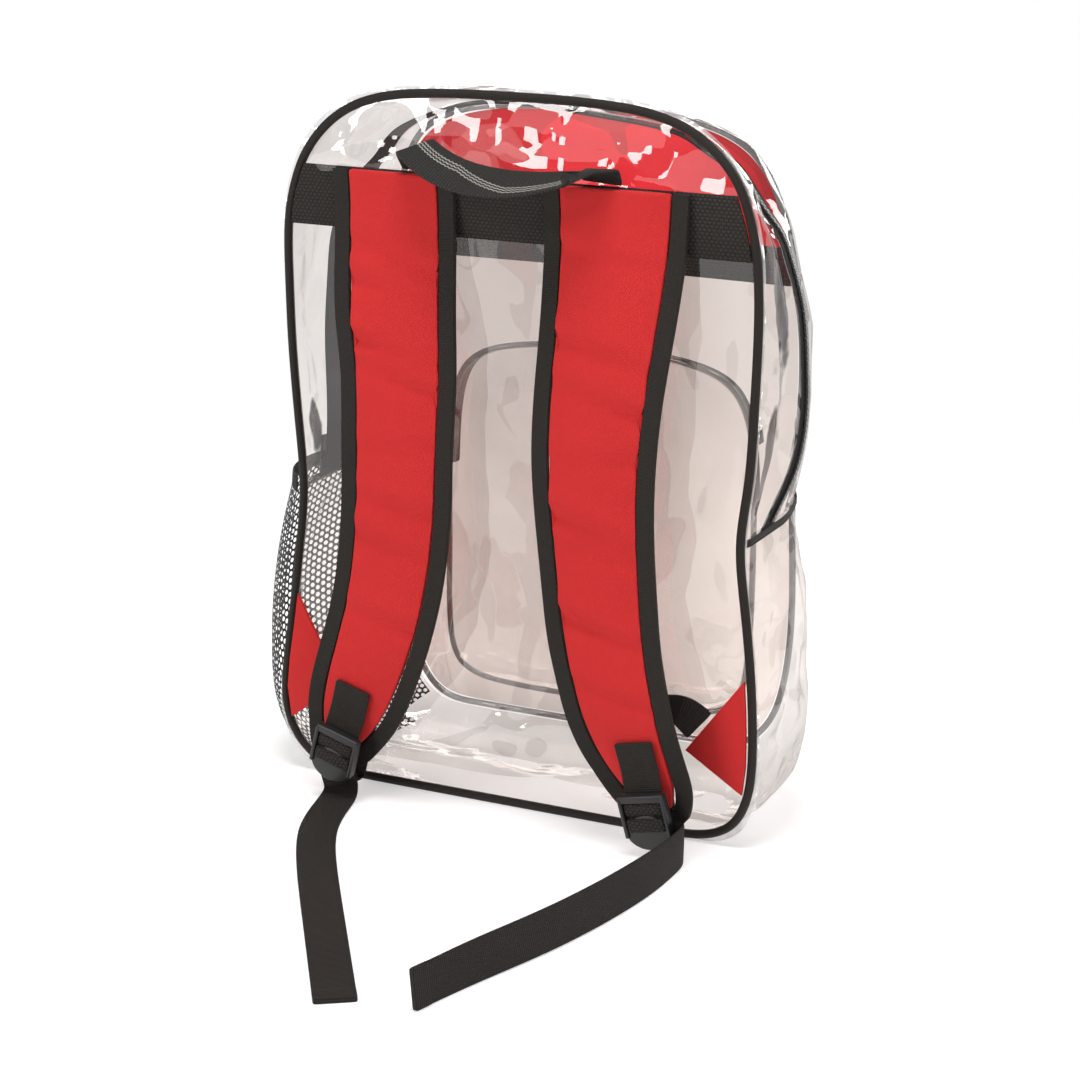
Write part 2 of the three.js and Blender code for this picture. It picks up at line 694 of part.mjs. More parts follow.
function buildFront() {
  const behind = new THREE.Vector3(0, 0, bagHeight / 2);
  const rows = spread(1, topRow - 1, topRow - 2);
  const panel = wallFromGrid(rows.map((place) => frontRow(place, 8, 0)), clearWall, behind);
  addMesh('front_panel', panel, clearLook);

  const lift = gap + fabricWall;
  const seam = frontPlaceAt(yokeBottom);
  const seamGap = frontPlaceAt(yokeBottom + gap) - seam;
  const yokeRows = spread(seam + seamGap, topRow - 1, 5);
  const yoke = wallFromGrid(yokeRows.map((place) => frontRow(place, 8, lift)), fabricWall, behind);
  addMesh('front_yoke', yoke, redLook);

  const trimRows = [frontPlaceAt(yokeBottom - trimHeight), seam];
  const trim = wallFromGrid(trimRows.map((place) => frontRow(place, 8, lift)), fabricWall, behind);
  addMesh('yoke_trim', trim, blackWebLook);

  const cord = outlinePoints(frontPoint, 2 * rowCount, 0);
  addMesh('front_piping', pipingAlong(cord, frontPipingRadius, 6), smokeLook);
}

// Front pocket

function pocketLoop(steps) {
  const controls = [];
  const height = pocketTop - pocketBottom;
  const at = (row, sign) => new THREE.Vector3(
    sign * row.across * pocketHalfWidth,
    0,
    pocketBottom + row.up * height,
  );
  pocketOutline.forEach((row) => controls.push(at(row, 1)));
  pocketOutline.slice(1, -1).reverse().forEach((row) => controls.push(at(row, -1)));
  return smoothLine(controls, steps, true).slice(0, steps);
}

function offsetLoop(loop, distance) {
  const lines = tangents(loop, true);
  return loop.map((point, i) => point.clone()
    .addScaledVector(new THREE.Vector3(lines[i].z, 0, -lines[i].x).normalize(), distance));
}

function raisedLoop(loop, lift) {
  return loop.map((point) => new THREE.Vector3(
    point.x,
    frontFaceAt(point.x, point.z) + 2 * gap + lift,
    point.z,
  ));
}

function buildFrontPocket() {
  const loop = pocketLoop(40);
  const middle = new THREE.Vector3(0, 0, (pocketTop + pocketBottom) / 2);
  const wallDepth = pocketDepth * 0.7;
  const rings = [
    raisedLoop(loop, 0),
    raisedLoop(loop, wallDepth),
    raisedLoop(offsetLoop(loop, -0.25 * pocketDepth), pocketDepth),
    raisedLoop(offsetLoop(loop, -0.8 * pocketDepth), pocketDepth + pocketBelly * 0.5),
    raisedLoop(loop.map((point) => point.clone().lerp(middle, 0.5)), pocketDepth + pocketBelly),
  ];
  const behind = new THREE.Vector3(0, bagDepth * 0.9, middle.z);
  addMesh('front_pocket', wallFromGrid(rings, clearWall, behind, true, true), clearLook);

  const cordLoop = offsetLoop(loop, pocketPipingRadius + gap);
  const cord = pipingAlong(raisedLoop(cordLoop, pocketPipingRadius), pocketPipingRadius, 6);
  addMesh('pocket_piping', cord, smokeLook);

  const firstZip = Math.round(loop.length * 0.24);
  const zipLoop = offsetLoop(loop, gap + fabricWall).slice(firstZip, loop.length - firstZip + 1);
  const zipMiddle = mix(2 * pocketPipingRadius + gap, wallDepth, 0.5);
  const zipRings = [-1, 1].map((side) => (
    raisedLoop(zipLoop, zipMiddle + side * pocketZipWidth / 2)
  ));
  const behindZip = new THREE.Vector3(0, frontDepthAt(middle.z), middle.z);
  addMesh('pocket_zip', wallFromGrid(zipRings, fabricWall, behindZip), blackWebLook);

  const sliderAt = firstZip + 2;
  const sliderOff = 2 * gap + fabricWall + sliderHeight / 2;
  const origin = raisedLoop(offsetLoop(loop, sliderOff), zipMiddle)[sliderAt];
  const along = tangents(loop, true)[sliderAt];
  const forward = new THREE.Vector3(0, 1, 0);
  const out = new THREE.Vector3().crossVectors(forward, along);
  const frame = new THREE.Matrix4().makeBasis(along, out, forward).setPosition(origin);
  const slider = new THREE.BoxGeometry(sliderLength, sliderHeight, sliderWidth);
  addMesh('pocket_zip_slider', slider.applyMatrix4(frame), plasticLook);
}

// Side mesh pocket on the left

function meshPoint(place, share) {
  const top = leftSeamRow - placesFor(leftSeamRow, elasticHeight);
  const down = THREE.MathUtils.clamp((place - top) / (rowCount - 2 - top), 0, 1);
  const fullness = Math.sin(Math.PI * (0.3 + 0.65 * down));
  const hold = 2 * gap + seamTapeWall + meshWall;
  const across = Math.sin(Math.PI * Math.min(1, share ** 0.8));
  const point = gussetPoint(place, share, hold + meshSwell * fullness * across);
  point.z = Math.max(point.z, meshWall);
  return point;
}

function buildMeshPocket() {
  const rim = placesFor(leftSeamRow, elasticHeight * 0.5);
  const shares = (place) => [
    gussetRear(place), 0.07, 0.16, 0.28, 0.42, 0.56, 0.7, 0.84, gussetFront(place),
  ];
  const grid = (places) => places.map((place) => (
    shares(place).map((share) => meshPoint(place, share))
  ));
  const seamGap = placesFor(leftSeamRow, gap);
  const meshPlaces = spread(leftSeamRow + rim + seamGap, rowCount - 2, 9);
  addMesh('side_mesh', wallFromGrid(grid(meshPlaces), meshWall, bagCentre), meshLook);
  const bindingPlaces = [leftSeamRow - rim, leftSeamRow + rim];
  addMesh('mesh_elastic', wallFromGrid(grid(bindingPlaces), meshWall, bagCentre), blackWebLook);
}

// Webbing band across the back panel

const bandBack = clearWall / 2 + gap;
const bandFace = bandBack + webWall;

function backEdgeAt(height, side, inset) {
  const places = side > 0 ? spread(0, topRow, 240) : spread(rowCount, topRow, 240);
  let best = backPoint(places[0]);
  for (const place of places) {
    const point = backPoint(place).addScaledVector(outwardAt(backPoint, place), -inset);
    if (Math.abs(point.z - height) < Math.abs(best.z - height) && point.x * side > best.x * side / 2) {
      best = point;
    }
  }
  return best.x;
}

function buildBand() {
  const inset = backPipingRadius + 2 * gap;
  const heights = spread(bandTop - bandHeight, bandTop, 4);
  const right = heights.map((z) => new THREE.Vector3(backEdgeAt(z, 1, inset), 0, z));
  const left = heights.map((z) => new THREE.Vector3(backEdgeAt(z, -1, inset), 0, z)).reverse();
  const band = addMesh('back_band', flatPlate([...right, ...left], webWall), blackWebLook);
  band.position.y = -bandBack;
}

// Red corner triangle where the lower webbing is sewn in

function buildTriangle(side) {
  const inset = backPipingRadius + 2 * gap;
  const top = side.triangleTop * bagHeight;
  const heights = spread(triangleBottom, top, 4);
  const edge = heights.map((z) => new THREE.Vector3(backEdgeAt(z, side.sign, inset), 0, z));
  const tipHeight = mix(triangleBottom, top, 0.32);
  const tip = new THREE.Vector3(
    backEdgeAt(tipHeight, side.sign, inset) - side.sign * triangleReach,
    0,
    tipHeight,
  );
  const points = side.sign > 0 ? [tip, ...edge] : [tip, ...edge].reverse();
  const triangle = addMesh(`corner_triangle_${side.name}`, flatPlate(points, triangleWall), redLook);
  triangle.position.y = -bandBack;
}

// Padded shoulder straps with their binding

const padSeat = bandFace + gap + padEdge / 2;

function strapMiddle(side) {
  return strapRows.map((row) => ({
    up: row.up * bagHeight,
    centre: side.sign * row[`${side.name}Centre`] * backHalfWidth,
    width: row[`${side.name}Width`] * padWidth,
    off: padSeat + row.bow * padBow,
  }));
}

function buildStrap(side) {
  const rows = strapMiddle(side);
  const last = rows[rows.length - 1];
  const tip = new THREE.Vector3(last.centre, -last.off, last.up - last.width * 0.12);
  const edgeAt = (row, sign) => new THREE.Vector3(
    row.centre + sign * row.width / 2,
    -row.off,
    row.up,
  );
  const outline = [
    ...rows.map((row) => edgeAt(row, -1)),
    tip,
    ...rows.map((row) => edgeAt(row, 1)).reverse(),
  ];
  const line = smoothLine(outline, 2 * outline.length - 2);
  const directions = tangents(line, false);
  const inwardAt = (i) => {
    const inward = new THREE.Vector3(-directions[i].z, 0, directions[i].x).normalize();
    const straight = i === 0 || i === line.length - 1;
    return straight ? new THREE.Vector3(i === 0 ? 1 : -1, 0, 0) : inward;
  };
  const rings = line.map((point, i) => {
    const inner = point.clone().addScaledVector(inwardAt(i), bindingWidth);
    const half = padEdge / 2;
    const corner = (from, depth) => from.clone().add(new THREE.Vector3(0, depth, 0));
    return [corner(point, -half), corner(inner, -half), corner(inner, half), corner(point, half)];
  });
  addMesh(`strap_binding_${side.name}`, barFromRings(rings), blackWebLook);

  const padRows = rows.slice(0, -1);
  const columns = 6;
  const section = (row, i) => {
    const next = rows[i + 1];
    const [left, right] = [-1, 1].map((sign) => {
      const edge = row.centre + sign * row.width / 2;
      const slope = (next.centre + sign * next.width / 2 - edge) / (row.up - next.up);
      return edge - sign * (bindingWidth + 3 * gap) * Math.hypot(1, slope);
    });
    const crown = Math.min(1, (right - left) * 1.5 / padWidth);
    const front = [];
    const back = [];
    for (const share of spread(-1, 1, columns)) {
      const across = mix(left, right, (share + 1) / 2);
      const thick = padEdge / 2 + padCrown * crown * (1 - share ** 4);
      front.push(new THREE.Vector3(across, -row.off - thick, row.up));
      back.push(new THREE.Vector3(across, -row.off + padEdge / 2, row.up));
    }
    return [...front, ...back.reverse()];
  };
  addMesh(`shoulder_pad_${side.name}`, barFromRings(padRows.map(section)), redLook);
}

// The strap's front face at a height, for what is sewn on it
function strapFaceAt(side, height) {
  const rows = strapMiddle(side);
  let low = 0;
  while (low < rows.length - 2 && rows[low + 1].up > height) {
    low += 1;
  }
  const share = (height - rows[low].up) / (rows[low + 1].up - rows[low].up);
  return {
    across: mix(rows[low].centre, rows[low + 1].centre, share),
    off: mix(rows[low].off, rows[low + 1].off, share) + padEdge / 2 + padCrown,
  };
}

// Buckles, with the webbing that is sewn to the strap, the tail and the lower webbing

const buckleLayer = buckleWall / 2 + gap + webWall / 2;
const lowerLayer = buckleLayer + 8 * gap + webWall;

function buckleFrame(side) {
  const height = side.buckleUp * webbingWidth;
  const face = strapFaceAt(side, height);
  const off = face.off + gap + webWall / 2 + lowerLayer;
  const frame = new THREE.Matrix4().makeTranslation(
    side.sign * side.buckleAcross * backHalfWidth,
    -off,
    height,
  );
  frame.multiply(new THREE.Matrix4().makeRotationY(-toRadians(side.tilt)));
  return frame.multiply(new THREE.Matrix4().makeRotationX(toRadians(bucklePitch)));
}

function buildBuckle(side, frame) {
  const half = buckleWidth / 2;
  const slotHalf = half - buckleRail;
  const bottom = topBar + topSlot + middleBar + lowerSlot;
  const shape = new THREE.Shape();
  shape.moveTo(-half * 0.86, 0);
  shape.lineTo(half * 0.86, 0);
  shape.lineTo(half, -topBar * 0.7);
  shape.lineTo(half, -bottom - buckleRail);
  shape.lineTo(half * 0.82, -bottom - tabLength * 0.6);
  shape.lineTo(half * 0.5, -bottom - tabLength);
  shape.lineTo(-half * 0.5, -bottom - tabLength);
  shape.lineTo(-half * 0.82, -bottom - tabLength * 0.6);
  shape.lineTo(-half, -bottom - buckleRail);
  shape.lineTo(-half, -topBar * 0.7);
  const slots = [
    [topBar, topBar + topSlot],
    [topBar + topSlot + middleBar, bottom],
  ];
  for (const [start, end] of slots) {
    const hole = new THREE.Path();
    hole.moveTo(-slotHalf, -start);
    hole.lineTo(-slotHalf, -end);
    hole.lineTo(slotHalf, -end);
    hole.lineTo(slotHalf, -start);
    shape.holes.push(hole);
  }
  const body = new THREE.ExtrudeGeometry(shape, { depth: buckleWall, bevelEnabled: false });
  body.translate(0, 0, -buckleWall / 2);
  body.rotateX(Math.PI / 2);
  addMesh(`buckle_${side.name}`, body.applyMatrix4(frame), plasticLook);
}

function localStation(frame, down, depth) {
  const across = new THREE.Vector3(1, 0, 0).transformDirection(frame);
  const point = new THREE.Vector3(0, depth, -down).applyMatrix4(frame);
  return { point, across };
}

function buildEndPatch(side, frame) {
  const stations = [];
  for (const share of [1.3, 0.9, 0.5]) {
    const station = localStation(frame, -share * webbingWidth, 0);
    const face = strapFaceAt(side, station.point.z);
    station.point.y = -(face.off + 2 * gap + webWall / 2);
    stations.push(station);
  }
  stations.push(localStation(frame, 0, buckleLayer));
  stations.push(localStation(frame, topBar + topSlot * 0.3, buckleLayer));
  addMesh(`strap_end_${side.name}`, webbingAlong(stations, webbingWidth, webWall), blackWebLook);
}

function buildTail(side, frame) {
  const slotTop = topBar + topSlot + middleBar;
  const stations = [
    localStation(frame, topBar + topSlot * 0.75, -buckleLayer),
    localStation(frame, slotTop + 0.5, -buckleLayer),
    localStation(frame, slotTop + lowerSlot * 0.65, buckleLayer + gap),
    localStation(frame, slotTop + lowerSlot + tabLength * 0.6, buckleLayer + gap),
  ];
  const route = tailRoutes[side.name];
  for (const row of route) {
    const swing = toRadians(row.swing);
    const roll = toRadians(row.roll);
    stations.push({
      point: new THREE.Vector3(
        row.across * backHalfWidth,
        -row.forth * tailReach,
        row.up * webbingWidth,
      ),
      across: new THREE.Vector3(
        Math.cos(swing) * Math.cos(roll),
        Math.sin(swing) * Math.cos(roll),
        Math.sin(roll),
      ),
    });
  }
  const [before, end] = stations.slice(-2);
  const line = new THREE.Vector3().subVectors(end.point, before.point).normalize();
  for (const distance of [gap, hemLength]) {
    const point = end.point.clone().addScaledVector(line, distance);
    point.z = Math.max(point.z, webWall);
    stations.push({ point, across: end.across, folded: 2 });
  }
  const tail = webbingAlong(stations, webbingWidth * 0.98, webWall);
  addMesh(`strap_tail_${side.name}`, tail, blackWebLook);
}

function buildLowerWebbing(side, frame) {
  const tabTop = topBar + topSlot + middleBar + lowerSlot;
  const stations = [
    localStation(frame, topBar + topSlot * 0.8, lowerLayer),
    localStation(frame, tabTop, lowerLayer + gap),
    localStation(frame, tabTop + tabLength * 0.5, lowerLayer + 3 * gap),
  ];
  for (const row of lowerRoute) {
    const turn = toRadians(row.turn);
    stations.push({
      point: new THREE.Vector3(
        side.sign * row.across * backHalfWidth,
        -row.off * padBow,
        row.up * bagHeight,
      ),
      across: new THREE.Vector3(Math.cos(turn), 0, side.sign * Math.sin(turn)),
    });
  }
  const webbing = webbingAlong(stations, webbingWidth * 0.98, webWall);
  addMesh(`lower_webbing_${side.name}`, webbing, blackWebLook);
}

// Grab handle

function buildHandle() {
  const stations = handleRoute.map((row) => {
    const swing = toRadians(row.swing);
    const droop = toRadians(row.droop);
    return {
      point: new THREE.Vector3(
        row.across * backHalfWidth,
        -row.off * webbingWidth,
        bandTop + row.up * webbingWidth,
      ),
      across: new THREE.Vector3(
        Math.cos(swing) * Math.cos(droop),
        -Math.sin(swing) * Math.cos(droop),
        -Math.sin(droop),
      ),
    };
  });
  addMesh('grab_handle', webbingAlong(stations, webbingWidth, webWall), blackWebLook);
}

buildBackPanel();
buildGusset();
buildSeamTape('seam_tape_right', seamRow);
buildSeamTape('seam_tape_left', leftSeamRow);
buildZipPull();
buildFront();
buildFrontPocket();
buildMeshPocket();
buildBand();
for (const side of sides) {
  const frame = buckleFrame(side);
  buildTriangle(side);
  buildStrap(side);
  buildBuckle(side, frame);
  buildEndPatch(side, frame);
  buildTail(side, frame);
  buildLowerWebbing(side, frame);
}
buildHandle();

export default bag;
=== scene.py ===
import math

import bpy
from mathutils import Matrix, Vector, kdtree


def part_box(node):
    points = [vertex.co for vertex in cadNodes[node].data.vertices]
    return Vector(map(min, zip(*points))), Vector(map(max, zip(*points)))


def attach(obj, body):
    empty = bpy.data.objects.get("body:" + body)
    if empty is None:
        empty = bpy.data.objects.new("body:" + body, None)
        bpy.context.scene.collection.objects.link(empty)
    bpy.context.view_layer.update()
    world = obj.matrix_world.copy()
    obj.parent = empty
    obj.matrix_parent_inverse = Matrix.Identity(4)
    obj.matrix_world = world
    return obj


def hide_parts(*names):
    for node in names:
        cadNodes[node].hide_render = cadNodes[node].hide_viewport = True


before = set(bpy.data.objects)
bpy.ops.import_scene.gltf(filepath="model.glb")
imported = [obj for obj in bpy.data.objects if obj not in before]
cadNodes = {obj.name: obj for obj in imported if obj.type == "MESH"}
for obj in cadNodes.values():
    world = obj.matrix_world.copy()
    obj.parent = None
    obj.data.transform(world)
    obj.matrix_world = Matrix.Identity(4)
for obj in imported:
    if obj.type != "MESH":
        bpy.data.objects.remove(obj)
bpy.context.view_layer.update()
mm = 0.001  # lengths are in metres
print("CAD model loaded")


# Small helpers for selecting, modifying and finishing

def toObjectMode():
    if bpy.context.mode != "OBJECT":
        bpy.ops.object.mode_set(mode="OBJECT")


def deselectAll():
    toObjectMode()
    bpy.ops.object.select_all(action="DESELECT")


def selectOnly(obj):
    deselectAll()
    obj.select_set(True)
    bpy.context.view_layer.objects.active = obj


def editOnly(obj, selectMode="FACE"):
    selectOnly(obj)
    bpy.ops.object.mode_set(mode="EDIT")
    bpy.ops.mesh.select_mode(type=selectMode)
    bpy.ops.mesh.select_all(action="DESELECT")


def selectFaces(obj, wanted):  # picks faces in code by their place or normal, and goes on in edit mode
    editOnly(obj)
    toObjectMode()
    for face in obj.data.polygons:
        face.select = wanted(face.center, face.normal)
    bpy.ops.object.mode_set(mode="EDIT")


def applyModifier(obj, kind, **settings):
    modifier = obj.modifiers.new(kind.lower(), kind)
    for name, value in settings.items():
        setattr(modifier, name, value)
    selectOnly(obj)
    bpy.ops.object.modifier_apply(modifier=modifier.name)


def subdivide(obj, levels, **settings):
    applyModifier(obj, "SUBSURF", levels=levels, render_levels=levels, **settings)


def bevelEdges(obj, width, segments, angle):  # rounds the edges that are sharper than the angle, in degrees
    applyModifier(
        obj, "BEVEL", width=width, segments=segments, limit_method="ANGLE", angle_limit=math.radians(angle),
    )


merging = {"distance": 0.02 * mm, "flat": math.radians(50)}


def copyNode(nodeName, name):  # the CAD node's triangles, merged and turned back into quads
    selectOnly(cadNodes[nodeName])
    bpy.ops.object.duplicate()
    obj = bpy.context.active_object
    obj.parent = None
    obj.name = name
    obj.data.name = name
    obj.data.materials.clear()
    while obj.data.uv_layers:
        obj.data.uv_layers.remove(obj.data.uv_layers[0])
    editOnly(obj, "VERT")
    bpy.ops.mesh.select_all(action="SELECT")
    bpy.ops.mesh.customdata_custom_splitnormals_clear()
    bpy.ops.mesh.remove_doubles(threshold=merging["distance"])
    bpy.ops.mesh.tris_convert_to_quads(face_threshold=merging["flat"], shape_threshold=merging["flat"])
    toObjectMode()
    return obj


def creaseSharpEdges(obj, angle, crease):
    editOnly(obj, "EDGE")
    bpy.ops.mesh.edges_select_sharp(sharpness=math.radians(angle))
    bpy.ops.transform.edge_crease(value=crease)
    toObjectMode()


unrolling = {"nearWidth": 0.06, "leastDifference": 0.1}  # shares of the tape's width


def unrollQuads(obj, acrossLength):  # UV in metres: U across the tape, V along it
    mesh = obj.data
    layer = mesh.uv_layers.new(name="unrolled")
    best = None
    for face in mesh.polygons:
        if len(face.vertices) != 4:
            continue
        corners = [mesh.vertices[i].co for i in face.vertices]
        sides = [(corners[i] - corners[(i + 1) % 4]).length for i in range(4)]
        for turn in (0, 1):
            across = (sides[turn] + sides[turn + 2]) / 2
            along = (sides[1 - turn] + sides[3 - turn]) / 2
            rightWidth = abs(across - acrossLength) < unrolling["nearWidth"] * acrossLength
            oblong = abs(along - across) > unrolling["leastDifference"] * across
            if rightWidth and oblong and (best is None or face.area > best[0]):
                best = (face.area, face.index, turn, across, along)
    if best is None:
        raise ValueError(f"{obj.name}: no face is {acrossLength} m across")
    area, index, turn, across, along = best
    square = [(0, 0), (across, 0), (across, along), (0, along)]
    if turn:
        square = [(0, 0), (0, along), (across, along), (across, 0)]
    for loop, place in zip(mesh.polygons[index].loop_indices, square):
        layer.data[loop].uv = place
    layer.vertex_selection.foreach_set("value", [True] * len(mesh.loops))
    layer.edge_selection.foreach_set("value", [True] * len(mesh.loops))
    mesh.polygons.active = index
    editOnly(obj)
    bpy.ops.mesh.select_all(action="SELECT")
    bpy.ops.uv.follow_active_quads(mode="LENGTH_AVERAGE")
    toObjectMode()
    layer = mesh.uv_layers[0]
    lowest = min(item.uv.y for item in layer.data)
    for item in layer.data:
        item.uv.y -= lowest


def pushAlongNormals(obj, amount):  # amount(place, normal) in metres, like a sculpting stroke
    normals = [v.normal.copy() for v in obj.data.vertices]
    for vertex, normal in zip(obj.data.vertices, normals):
        vertex.co += normal * amount(vertex.co, normal)
    obj.data.update()


def shadeSmooth(obj, angle):
    selectOnly(obj)
    bpy.ops.object.shade_smooth_by_angle(angle=math.radians(angle))


def finishPiece(obj, replaced, material, angle=40):
    obj.data.materials.clear()
    obj.data.materials.append(material)
    shadeSmooth(obj, angle)
    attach(obj, "root")
    if replaced:
        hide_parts(*replaced)


# Node trees are written with addNode: inputs are values or the output sockets that feed them

def feed(tree, socket, value):
    if isinstance(value, bpy.types.NodeSocket):
        tree.links.new(value, socket)
    else:
        socket.default_value = value


def addNode(tree, kind, inputs=None, **settings):
    node = tree.nodes.new(kind)
    for name, value in settings.items():
        setattr(node, name, value)
    for name, value in (inputs or {}).items():
        feed(tree, node.inputs[name], value)
    return node


def mathNode(tree, operation, *values, clamp=False):
    node = tree.nodes.new("ShaderNodeMath")
    node.operation = operation
    node.use_clamp = clamp
    for i, value in enumerate(values):
        feed(tree, node.inputs[i], value)
    return node.outputs[0]


def vectorNode(tree, operation, *values):
    node = addNode(tree, "ShaderNodeVectorMath", dict(enumerate(values)), operation=operation)
    return node.outputs["Value" if operation == "LENGTH" else "Vector"]


def newGroup(name, inputs, outputs):
    group = bpy.data.node_groups.new(name, "ShaderNodeTree")
    for socketName, kind, value in inputs:
        socket = group.interface.new_socket(name=socketName, in_out="INPUT", socket_type=kind)
        if value is not None:
            socket.default_value = value
    for socketName, kind in outputs:
        group.interface.new_socket(name=socketName, in_out="OUTPUT", socket_type=kind)
    entry = group.nodes.new("NodeGroupInput")
    leave = group.nodes.new("NodeGroupOutput")
    return group, entry.outputs, leave.inputs


def placeGroup(tree, group, inputs):
    node = tree.nodes.new("ShaderNodeGroup")
    node.node_tree = group
    for name, value in inputs.items():
        feed(tree, node.inputs[name], value)
    return node.outputs


def newMaterial(name):
    material = bpy.data.materials.new(name)
    material.use_nodes = True
    tree = material.node_tree
    tree.nodes.clear()
    output = tree.nodes.new("ShaderNodeOutputMaterial")
    return material, tree, output


# Shared effects

def rounded(group, value):  # 1 in the middle of a thread and 0 at its edges, half a thread away
    doubled = mathNode(group, "ABSOLUTE", mathNode(group, "MULTIPLY", value, 2.0))
    return mathNode(group, "SUBTRACT", 1.0, mathNode(group, "POWER", doubled, 2.0))


def makeWeaveGroup():  # raised oval threads in a brick pattern, from a place in metres
    group, given, out = newGroup(
        "threadWeave",
        [
            ("Place", "NodeSocketVector", None),
            ("Across", "NodeSocketFloat", 0.001),
            ("Along", "NodeSocketFloat", 0.001),
        ],
        [("Height", "NodeSocketFloat")],
    )
    xyz = addNode(group, "ShaderNodeSeparateXYZ", {"Vector": given["Place"]}).outputs
    row = mathNode(group, "DIVIDE", xyz["Y"], given["Along"])
    everyOther = mathNode(group, "FLOORED_MODULO", mathNode(group, "FLOOR", row), 2.0)
    shift = mathNode(group, "MULTIPLY", everyOther, 0.5)
    column = mathNode(group, "ADD", mathNode(group, "DIVIDE", xyz["X"], given["Across"]), shift)
    across = mathNode(group, "SUBTRACT", mathNode(group, "FRACT", column), 0.5)
    along = mathNode(group, "SUBTRACT", mathNode(group, "FRACT", row), 0.5)
    height = mathNode(group, "MULTIPLY", rounded(group, across), rounded(group, along))
    group.links.new(height, out["Height"])
    return group


def makeWearGroup():  # slow patches of paler and darker tone, as on used cloth and plastic
    group, given, out = newGroup(
        "toneWear",
        [
            ("Place", "NodeSocketVector", None),
            ("Size", "NodeSocketFloat", 0.03),
            ("Fine", "NodeSocketFloat", 0.002),
        ],
        [("Tone", "NodeSocketFloat"), ("Grain", "NodeSocketFloat")],
    )
    place = given["Place"]
    slowScale = mathNode(group, "DIVIDE", 1.0, given["Size"])
    fineScale = mathNode(group, "DIVIDE", 1.0, given["Fine"])
    slow = addNode(group, "ShaderNodeTexNoise", {
        "Vector": place, "Scale": slowScale, "Detail": 4.0, "Roughness": 0.55,
    })
    fine = addNode(group, "ShaderNodeTexNoise", {"Vector": place, "Scale": fineScale, "Detail": 2.0})
    group.links.new(slow.outputs["Fac"], out["Tone"])
    group.links.new(fine.outputs["Fac"], out["Grain"])
    return group


def makeFilmGroup():  # creases and uneven haze of soft clear vinyl
    group, given, out = newGroup(
        "vinylCreases",
        [("Place", "NodeSocketVector", None), ("Scale", "NodeSocketFloat", 30.0)],
        [("Height", "NodeSocketFloat"), ("Haze", "NodeSocketFloat")],
    )
    warp = addNode(group, "ShaderNodeTexNoise", {"Vector": given["Place"], "Scale": 16.0, "Detail": 1.0})
    place = vectorNode(group, "MULTIPLY_ADD", warp.outputs["Color"], (0.06, 0.06, 0.06), given["Place"])
    soft = addNode(group, "ShaderNodeTexNoise", {
        "Vector": place, "Scale": given["Scale"], "Detail": 1.0, "Roughness": 0.4,
    })
    facetScale = mathNode(group, "MULTIPLY", given["Scale"], 1.2)
    facets = addNode(group, "ShaderNodeTexVoronoi", {
        "Vector": place, "Scale": facetScale, "Smoothness": 0.25,
    }, feature="SMOOTH_F1")
    broad = mathNode(group, "MULTIPLY", soft.outputs["Fac"], 0.7)
    fine = mathNode(group, "MULTIPLY", facets.outputs["Distance"], 0.6)
    group.links.new(mathNode(group, "ADD", broad, fine), out["Height"])
    haze = addNode(group, "ShaderNodeTexNoise", {"Vector": place, "Scale": 11.0, "Detail": 3.0})
    spread = mathNode(group, "MULTIPLY_ADD", haze.outputs["Fac"], 3.0, -1.0, clamp=True)
    group.links.new(spread, out["Haze"])
    return group


def makeShadePatchGroup():  # a soft-edged patch around a place, for painted shade and dark reflections that sit in one spot of the film
    group, given, out = newGroup(
        "paintedShadePatch",
        [(name, "NodeSocketVector", None) for name in ("Place", "Centre", "Reach")],
        [("Mask", "NodeSocketFloat")],
    )
    place = given["Place"]
    rough = addNode(group, "ShaderNodeTexNoise", {"Vector": place, "Scale": 45.0, "Detail": 2.0})
    away = vectorNode(group, "SUBTRACT", place, given["Centre"])
    length = vectorNode(group, "LENGTH", vectorNode(group, "DIVIDE", away, given["Reach"]))
    edge = mathNode(group, "MULTIPLY_ADD", rough.outputs["Fac"], 1.1, -0.55)
    inside = mathNode(group, "SUBTRACT", 1.0, mathNode(group, "ADD", length, edge))
    group.links.new(mathNode(group, "MULTIPLY", inside, 5.0, clamp=True), out["Mask"])
    return group


